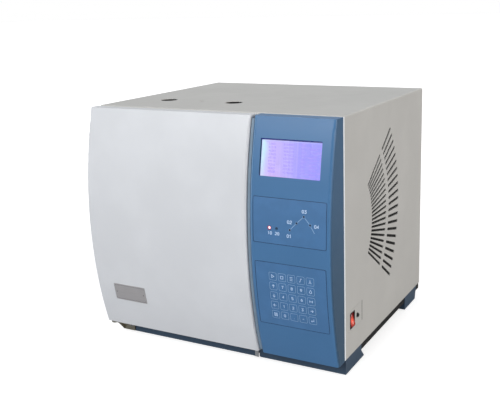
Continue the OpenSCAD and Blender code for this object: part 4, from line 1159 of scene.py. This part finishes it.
    def _on_glass(self, u: float, v: float, t: float) -> Vector:
        """Lays a point on the tilted display glass, from its middle."""
        tilt = math.radians(self.window_tilt)
        depth = self.face.radius - self.glass_behind + t
        y = self.face.axis_y - depth * math.cos(tilt) + v * math.sin(tilt)
        z = self.face.forward_z + depth * math.sin(tilt) + v * math.cos(tilt)
        return self.case.at(self.case.span("lcd_glass")[0].x + u, y, z)

    def _display(self) -> None:
        """Lights rows of numbers on the display, under a heading line and beside an upright one."""
        draw = random.Random(self.SEED)
        dots = Print(self._on_glass, HAIRLINE)
        for row in range(self.DISPLAY_ROWS):
            v = self.top_row - row * self.row_step
            for start, count in self.GROUPS if row else self.GROUPS[:-1]:
                for i in range(count):
                    sign = draw.choice("0123456789")
                    dots.write(sign, start + i * self.digit_step, v, size=2.0, width=0.6)
        (left, right), (bottom, top), upright = self.RULE_ACROSS, self.RULE_UP, self.RULE_AT
        dots.stroke([(left, top), (right, top)], self.rule)
        dots.stroke([(upright, top), (upright, bottom)], self.rule)
        dots.piece("display_numbers", self.paints.get("display_dots"), Slot.LCD)


# ---------------- door, switch and rear


@dataclass
class DoorSeal:
    """Braided rope seal round the door's plug, in millimetres."""

    paints: Paintbox
    face: float = 9.0
    corner: float = 9.0
    step: float = 1.5
    sides: int = 16
    strand: float = 6.0
    relief: float = 0.16

    def build(self) -> None:
        """Sweeps the rope round the plug and lets it stand for the plain seal."""
        low, high = node_box("door_gasket")
        middle, depth, size = (low + high) / 2, (high.y - low.y) / 2, (high - low) / MM
        path = evenly(rounded(size.x - self.face, size.z - self.face, self.corner, 10), self.step)
        turns = round(len(path) * self.step / self.strand)
        rims = []
        for i, point in enumerate(path):
            run = Vector(path[(i + 1) % len(path)]) - Vector(path[i - 1])
            across = Vector((run.y, -run.x)).normalized()
            rim = []
            for k in range(self.sides):
                angle = math.tau * k / self.sides
                swell = 1 - self.relief * self._gap(math.pi * turns * i / len(path), angle)
                flat = (Vector(point) + across * (math.cos(angle) * swell * self.face / 2)) * MM
                rim.append(middle + Vector((flat.x, math.sin(angle) * swell * depth, flat.y)))
            rims.append(rim)
        bm = bmesh.new()
        loft(bm, rims, looped=True)
        rope = add_piece("door_rope_seal", bm, self.paints.get("gasket"), Slot.GASKET, Body.DOOR, True)
        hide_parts("door_gasket")

    @staticmethod
    def _gap(phase: float, angle: float) -> float:
        """How deep the surface lies between two crossing strands, from 0 to 1."""
        return 1 - max(abs(math.sin(phase + 2 * angle)), abs(math.sin(phase - 2 * angle)))


class Screws:
    """Pan-head screws with cross recesses that are gathered into one piece."""

    # Shares of the head's radius, and heights as shares of its height.
    PROFILE = ((1.0, 0.0), (1.0, 0.35), (0.88, 0.72), (0.6, 0.93), (0.3, 1.0))
    SIDES = 20
    HEIGHT = 0.5
    CROSS_REACH = 0.52
    CROSS_HALF = 0.13
    CROSS_RISE = (0.6, 1.02)

    def __init__(self, name: str, dressing: Dressing, body: Body = Body.CASE) -> None:
        """Starts an empty set on a body, with the name that its two pieces are called after."""
        self.name = name
        self.dressing = dressing
        self.body = body
        self.heads = bmesh.new()
        self.recesses = bmesh.new()

    def add(self, at: Vector, out: Point, radius: float, turn: float) -> None:
        """Adds a screw.

        Args:
            at: The middle of its head on the surface.
            out: The direction that it faces.
            radius: The head's radius in millimetres.
            turn: How far its recess is turned, in degrees.
        """
        facing = Vector(out).to_track_quat("Z", "Y").to_matrix()
        height = radius * self.HEIGHT

        def rim(points: Sequence[Flat], rise: float) -> list[Vector]:
            """Lays points on the head, at a share of its height."""
            return [at + facing @ (Vector((x, y, rise * height)) * MM) for x, y in points]

        profile = [(radius * share, rise) for share, rise in self.PROFILE]
        loft(self.heads, [rim(circle((0.0, 0.0), reach, self.SIDES), rise) for reach, rise in profile])
        for angle in (turn, turn + 90):
            arm = Vector((math.cos(math.radians(angle)), math.sin(math.radians(angle))))
            side = Vector((-arm.y, arm.x)) * radius * self.CROSS_HALF
            arm *= radius * self.CROSS_REACH
            corners = [arm + side, side - arm, -arm - side, arm - side]
            loft(self.recesses, [rim(corners, rise) for rise in self.CROSS_RISE])

    def row(self, places: Sequence[Flat], y: float, out: Point, radius: float, turn: float) -> None:
        """Adds a screw at each x and z in case millimetres, where the surface lies at y in metres.

        Each recess is turned by as many degrees more than the last.
        """
        for i, (x, z) in enumerate(places):
            at = self.dressing.case.at(x, 0, z)
            self.add(Vector((at.x, y, at.z)), out, radius, turn * i)

    def corners(self, node: str, inset: float, out: Point, radius: float, turn: Point) -> None:
        """Adds a screw in each corner of a plate, at an inset in millimetres from its sides.

        The recesses are turned by degrees for each metre along x, y and z.
        """
        low, high = node_box(node)
        y = high.y if out == BACKWARD else low.y
        for x in (low.x + inset * MM, high.x - inset * MM):
            for z in (low.z + inset * MM, high.z - inset * MM):
                at = Vector((x, y, z))
                self.add(at, out, radius, at.dot(Vector(turn)))

    def pieces(self) -> None:
        """Turns the set into its two pieces."""
        metal, dark = (self.dressing.paints.get(name) for name in ("bright_steel", "black_plastic"))
        add_piece(f"{self.name}_screws", self.heads, metal, Slot.STEEL, self.body, True)
        add_piece(f"{self.name}_recesses", self.recesses, dark, Slot.BLACK, self.body)


@dataclass
class Hardware(Dressing):
    """Screws, marks, a bead of painted highlight, painted shade and other trims away from the control
    panel, in millimetres.
    """

    slots_y: float = 26.4
    slots_z: float = 243.7
    slot_count: int = 21
    slot_step: float = 3.57
    slot_from: float = -35.0
    slot_shade_width: float = 0.75
    edge_inset: float = 10.0
    highlight_bead_half: float = 2.6
    highlight_bead_rise: float = 0.5
    plate_rise: float = 0.9
    plate_margin: float = 2.5
    plate_corner: float = 1.5
    plate_line: float = 0.45
    rivet_inset: float = 5.2
    rivet: float = 1.1
    pivot_inset: float = 5.0
    rocker_face: float = 3.8
    rocker_lean: float = -10.0
    rocker_slope: float = 7.7
    shade_sheet_inset: float = 1.7
    shade_sheet_thick: float = 2.0
    seam_shadow_width: float = 2.0
    strip_width: float = 5.4
    strip_behind: float = 4.0
    strip_thick: float = 5.0

    SLOT_RINGS = ((116.0, 193.0, 3.2), (212.0, 267.0, 4.2))
    FRAME_SCREWS = ((18, 90), (18, 270), (18, 405), (190, 425), (353, 90), (353, 270))
    LINER_SCREWS = ((60, 415), (200, 415), (355, 415), (355, 300), (355, 180), (355, 60))
    # From the bracket's right side, rear and lower edge.
    FLANGE_SCREW = (-8, -3, 12)
    ON_MARK = ((0.0, 5.2), (0.0, 9.6))
    OFF_MARK = (0.0, -7.6)
    # Lowest and highest corners: of the shade sheet in y and z, of the packer from the door's right side.
    SHADE_SHEET = ((105, 60), (420, 430))
    PACKER = ((-16.8, 5, -29.4), (-14.7, 9, -0.4))

    def build(self) -> None:
        """Adds everything."""
        self._slot_shade()
        self._rear_screws()
        self._front_screws()
        self._door_screws()
        self._oven_screws()
        self._nameplate()
        self._rocker_marks()
        self._gas_numbers()
        self._edge_highlight_bead()
        self._vent_shade_sheet()
        self._gap_light_strip()
        self._plate_seam_shadow()
        self._tab_packer()

    def _rear_screws(self) -> None:
        """Holds the rear panel, the fan's guard and the mains inlet."""
        case, screws = self.case, Screws("rear", self)
        left, right, top = self.edge_inset, case.width - self.edge_inset, case.height - self.edge_inset
        places = [(x, z) for x in (left, case.width / 2, right) for z in (self.edge_inset, top)]
        places += [(left, case.height / 2), (right, case.height / 2)]
        screws.row(places, case.at(0, case.depth, 0).y, BACKWARD, radius=3.6, turn=23.0)
        screws.corners("fan_guard", 4, BACKWARD, radius=3.0, turn=(400.0, 0.0, 0.0))
        low, high = node_box("power_inlet")
        inset = 5 * MM
        for x in (low.x + inset, high.x - inset):
            screws.add(Vector((x, high.y, (low.z + high.z) / 2)), BACKWARD, radius=2.6, turn=900 * x)
        screws.pieces()

    def _front_screws(self) -> None:
        """Holds the front frame and the lower hinge bracket."""
        screws = Screws("front", self)
        screws.row(self.FRAME_SCREWS, node_box("front_frame")[0].y, FORWARD, radius=3.4, turn=31.0)
        low, high = node_box("hinge_bracket_lower")
        flange = Vector((high.x, high.y, low.z)) + Vector(self.FLANGE_SCREW) * MM
        screws.add(flange, FORWARD, radius=3.2, turn=40.0)
        screws.pieces()

    def _door_screws(self) -> None:
        """Holds the door's liner."""
        screws = Screws("door", self, Body.DOOR)
        screws.row(self.LINER_SCREWS, node_box("strike_plate")[0].y, BACKWARD, radius=3.2, turn=37.0)
        screws.pieces()

    def _oven_screws(self) -> None:
        """Holds the fan's baffle inside the oven."""
        screws = Screws("baffle", self)
        screws.corners("fan_baffle", 14, FORWARD, radius=4.0, turn=(0.0, 0.0, 700.0))
        screws.pieces()

    def _nameplate(self) -> None:
        """Engraves a plain border on the bare nameplate and sets two rivets."""
        middle, size = self.case.span("nameplate")
        line = Print(self.face.lay(middle, self.plate_rise), HAIRLINE)
        width, height = size.x - 2 * self.plate_margin, size.z - 2 * self.plate_margin
        line.stroke(rounded(width, height, self.plate_corner), self.plate_line, closed=True)
        for side in (-1, 1):
            line.disc(side * (size.x / 2 - self.rivet_inset), 0.0, self.rivet)
        line.piece("nameplate_border", self.paints.get("plate_line"), Slot.PLATE, Body.DOOR)

    def _rocker_marks(self) -> None:
        """Prints the on and off marks on the rocker's two faces."""
        low, high = node_box("power_rocker")
        pivot = (low + high) / 2
        pivot.x = self.case.at(self.case.width - self.pivot_inset, 0, 0).x
        lean = Matrix.Rotation(math.radians(self.rocker_lean), 3, "Y")
        slope = math.radians(self.rocker_slope)

        def lay(u: float, v: float, t: float) -> Vector:
            """Lays a point on the rocker's two slopes, from their ridge."""
            inner = self.rocker_face + abs(v) * math.sin(slope) + t
            return pivot + lean @ (Vector((inner, u, v * math.cos(slope))) * MM)

        marks = Print(lay, thickness=0.04)
        marks.stroke(self.ON_MARK, width=0.8)
        marks.ring(*self.OFF_MARK, radius=2.2, width=0.7)
        marks.piece("rocker_marks", self.paints.get("white_ink"), body=Body.ROCKER)

    def _gas_numbers(self) -> None:
        """Numbers the gas inlets on the rear panel."""
        low, high = self.case.box("gas_inlets")
        ink = Print(lambda u, v, t: self.case.at(-u, self.case.depth + t, v), thickness=0.05)
        half, above = (high.z - low.z) / 2, high.z + 9
        for number, x in zip("321", (low.x + half, (low.x + high.x) / 2, high.x - half)):
            ink.write(number, -x, above, size=4.0, width=0.9)
        ink.piece("gas_numbers", self.paints.get("rear_ink"))

    def _edge_highlight_bead(self) -> None:
        """Runs a pale half-round bead down the cover's front edge, beside the panel, as a painted
        highlight on that rolled edge.
        """
        half, rise, steps = self.highlight_bead_half, self.highlight_bead_rise, 8
        radius = (half**2 + rise**2) / (2 * rise)
        across = [half * (2 * i / steps - 1) for i in range(steps + 1)]
        middle = half + 0.05
        bead = [(middle + y, math.sqrt(radius**2 - y**2) - radius + rise) for y in across]
        bm = bmesh.new()
        ends = (0.6, self.case.height - 1.2)
        loft(bm, [[self.case.on_side(y, z, out) for y, out in bead] for z in ends])
        add_piece("cover_edge_highlight", bm, self.paints.get("edge_highlight"), Slot.STEEL)

    def _slot_shade(self) -> None:
        """Draws a ring of painted shade round each ventilation slot, so that the slots look wider and
        darker.
        """
        edge = Print(self.case.on_side, HAIRLINE)
        for inner, outer, width in self.SLOT_RINGS:
            length, half = outer - inner, (width + self.slot_shade_width) / 2
            ends = arc((length / 2, 0.0), half, -90, 90, 6) + arc((-length / 2, 0.0), half, 90, 270, 6)
            for i in range(self.slot_count):
                angle = math.radians(self.slot_from + i * self.slot_step)
                along = Vector((math.cos(angle), math.sin(angle)))
                middle = Vector((self.slots_y, self.slots_z)) + along * (inner + outer) / 2
                aside = Vector((-along.y, along.x))
                edge.stroke([tuple(middle + along * u + aside * v) for u, v in ends], self.slot_shade_width, True)
        edge.piece("slot_shade", self.paints.get("shade_foam"), Slot.BLACK)

    def _block(self, name: str, low: Vector, high: Vector, finish: str) -> None:
        """Adds a plain block to the case, from its lowest to its highest corner."""
        bm = bmesh.new()
        sides = ((low.x, low.y), (high.x, low.y), (high.x, high.y), (low.x, high.y))
        loft(bm, [[Vector((x, y, z)) for x, y in sides] for z in (low.z, high.z)])
        add_piece(name, bm, self.paints.get(finish), Slot.BLACK)

    def _vent_shade_sheet(self) -> None:
        """Lays a thin sheet of black foam behind the ventilation slots, as painted shade for the case's
        inside seen through them.
        """
        right = self.case.width - self.shade_sheet_inset
        low, high = self.SHADE_SHEET
        corners = self.case.at(right - self.shade_sheet_thick, *low), self.case.at(right, *high)
        self._block("vent_shade_sheet", *corners, "shade_foam")

    def _tab_packer(self) -> None:
        """Packs the narrow room in the front foot bar beside the frame's tab."""
        door = self.case.box("door_skin")[1].x
        corners = (self.case.at(door + x, y, z) for x, y, z in self.PACKER)
        self._block("tab_packer", *corners, "base_paint")

    def _gap_light_strip(self) -> None:
        """Sets a rubber strip on the panel's left side, inside the gap beside the door; its lighter
        colour stands in for the light on the door's edge there.
        """
        side = self.case.box("control_panel")[0].x
        inner, near, steps = side - self.strip_width, -self.strip_behind, 46
        far = near - self.strip_thick
        corners = ((inner, near), (side, near), (side, far), (inner, far))
        bottom, length = 3.0, self.case.height - 8
        heights = [bottom + i * length / steps for i in range(steps + 1)]
        bm = bmesh.new()
        loft(bm, [[self.face.at(x, z, proud) for x, proud in corners] for z in heights])
        add_piece("panel_gap_light_strip", bm, self.paints.get("gap_light_strip"), Slot.BLACK)

    def _plate_seam_shadow(self) -> None:
        """Paints shadow into the open joint behind the switch plate."""
        low, high = self.case.box("switch_plate")
        y, bottom, top = high.y - 0.6, low.z + 5, high.z - 3
        seam_shadow = Print(self.case.on_side, HAIRLINE)
        seam_shadow.stroke([(y, bottom), (y, top)], self.seam_shadow_width)
        seam_shadow.piece("switch_plate_seam_shadow", self.paints.get("seam_shadow"), Slot.BLACK)


# ---------------- studio


@dataclass(frozen=True)
class Studio:
    """Pale floor, soft light and the camera, whose eye is in millimetres and angles in degrees."""

    eye: Point = (782.7, -1424.5, 688.15)
    yaw: float = 27.68
    pitch: float = 13.71
    roll: float = -1.503
    focal_px: float = 766.36
    centre_px: Flat = (281.65, 189.57)
    picture_px: Flat = (500.0, 420.0)
    sensor: float = 36.0
    floor_half: float = 30.0
    floor_grey: Colour = (0.52, 0.52, 0.52)
    floor_glow: float = 0.74
    bounce_grey: Colour = (0.36, 0.36, 0.37)
    dome_colour: Colour = (0.95, 0.97, 1.0)
    dome_light: float = 0.50

    def build(self) -> None:
        """Builds the floor, the world, the suns and the camera."""
        self._floor()
        self._world()
        self._sun("key_light", (-0.20, -0.62, 0.42), strength=1.9, angle=35.0)
        self._sun("side_light", (0.95, -0.12, 0.12), 2.35, 60.0, colour=(1.0, 0.935, 0.86))
        self._camera()

    def _floor(self) -> None:
        """Builds the pale floor: white to the camera with the soft shadow kept, greyer as a bounce."""
        mesh = bpy.data.meshes.new("floor")
        half = self.floor_half
        corners = [(-half, -half, 0), (half, -half, 0), (half, half, 0), (-half, half, 0)]
        mesh.from_pydata(corners, [], [(0, 1, 2, 3)])
        floor = bpy.data.objects.new("floor", mesh)
        bpy.context.collection.objects.link(floor)
        shader = Shader("floor")
        haze = shader.noise(3.0, 2.0)
        shader.set(
            Base_Color=shader.tinted(self.floor_grey, haze.smooth(0.4, 0.7), 0.99),
            Roughness=haze * 0.05 + 0.75,
            Specular_IOR_Level=0.1,
            Emission_Color=WHITE,
            Emission_Strength=self.floor_glow,
        )
        bounce = shader.node("BsdfDiffuse", {}, {"Color": self.bounce_grey})
        shader.show("Material Output", shader.seen(), bounce, Signal(shader, shader.bsdf.outputs[0]))
        mesh.materials.append(shader.material)

    def _world(self) -> None:
        """Builds a soft dome that is white where the camera looks past everything."""
        world = bpy.data.worlds.new("studio")
        bpy.context.scene.world = world
        world.use_nodes = True
        dome = Tree(world.node_tree)
        soft = {"Color": self.dome_colour, "Strength": self.dome_light}
        light = dome.node("Background", {}, soft)
        white = dome.node("Background", {}, {"Color": WHITE})
        dome.show("World Output", dome.seen(), light, white)

    @staticmethod
    def _sun(name: str, source: Point, strength: float, angle: float, colour: Colour = WHITE) -> None:
        """Adds a broad sun; its angular size in degrees softens its shadow."""
        light = bpy.data.lights.new(name, "SUN")
        light.color = colour
        light.energy = strength
        light.angle = math.radians(angle)
        lamp = bpy.data.objects.new(name, light)
        lamp.rotation_euler = Vector(source).to_track_quat("Z", "Y").to_euler()
        bpy.context.collection.objects.link(lamp)

    def _camera(self) -> None:
        """Places the camera."""
        yaw, pitch, roll = (math.radians(a) for a in (self.yaw, self.pitch, self.roll))
        level = math.cos(pitch)
        ahead = Vector((-math.sin(yaw) * level, math.cos(yaw) * level, -math.sin(pitch)))
        side = Vector((math.cos(yaw), math.sin(yaw), 0.0))
        above = side.cross(ahead)
        right = math.cos(roll) * side + math.sin(roll) * above
        top = math.cos(roll) * above - math.sin(roll) * side
        data = bpy.data.cameras.new("camera")
        width, height = self.picture_px
        data.sensor_width = self.sensor
        data.lens = self.focal_px * self.sensor / width
        data.shift_x = (width / 2 - self.centre_px[0]) / width
        data.shift_y = (self.centre_px[1] - height / 2) / width
        data.clip_start = 0.05
        data.clip_end = 200.0
        camera = bpy.data.objects.new("camera", data)
        turned = Matrix((right, top, -ahead)).transposed().to_4x4()
        camera.matrix_world = Matrix.Translation(Vector(self.eye) * MM) @ turned
        bpy.context.collection.objects.link(camera)
        bpy.context.scene.camera = camera


# ---------------- the whole


def main() -> None:
    """Builds the dressed instrument and its studio."""
    logging.basicConfig(level=logging.INFO)
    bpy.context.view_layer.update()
    bpy.context.scene.view_settings.view_transform = "Standard"
    paints = Paintbox()
    paints.dress_nodes()
    case = Case()
    face = CurvedFace(case)
    PanelPrints(case, face, paints).build()
    DoorSeal(paints).build()
    Hardware(case, face, paints).build()
    Studio().build()


if __name__ == "__main__":
    main()
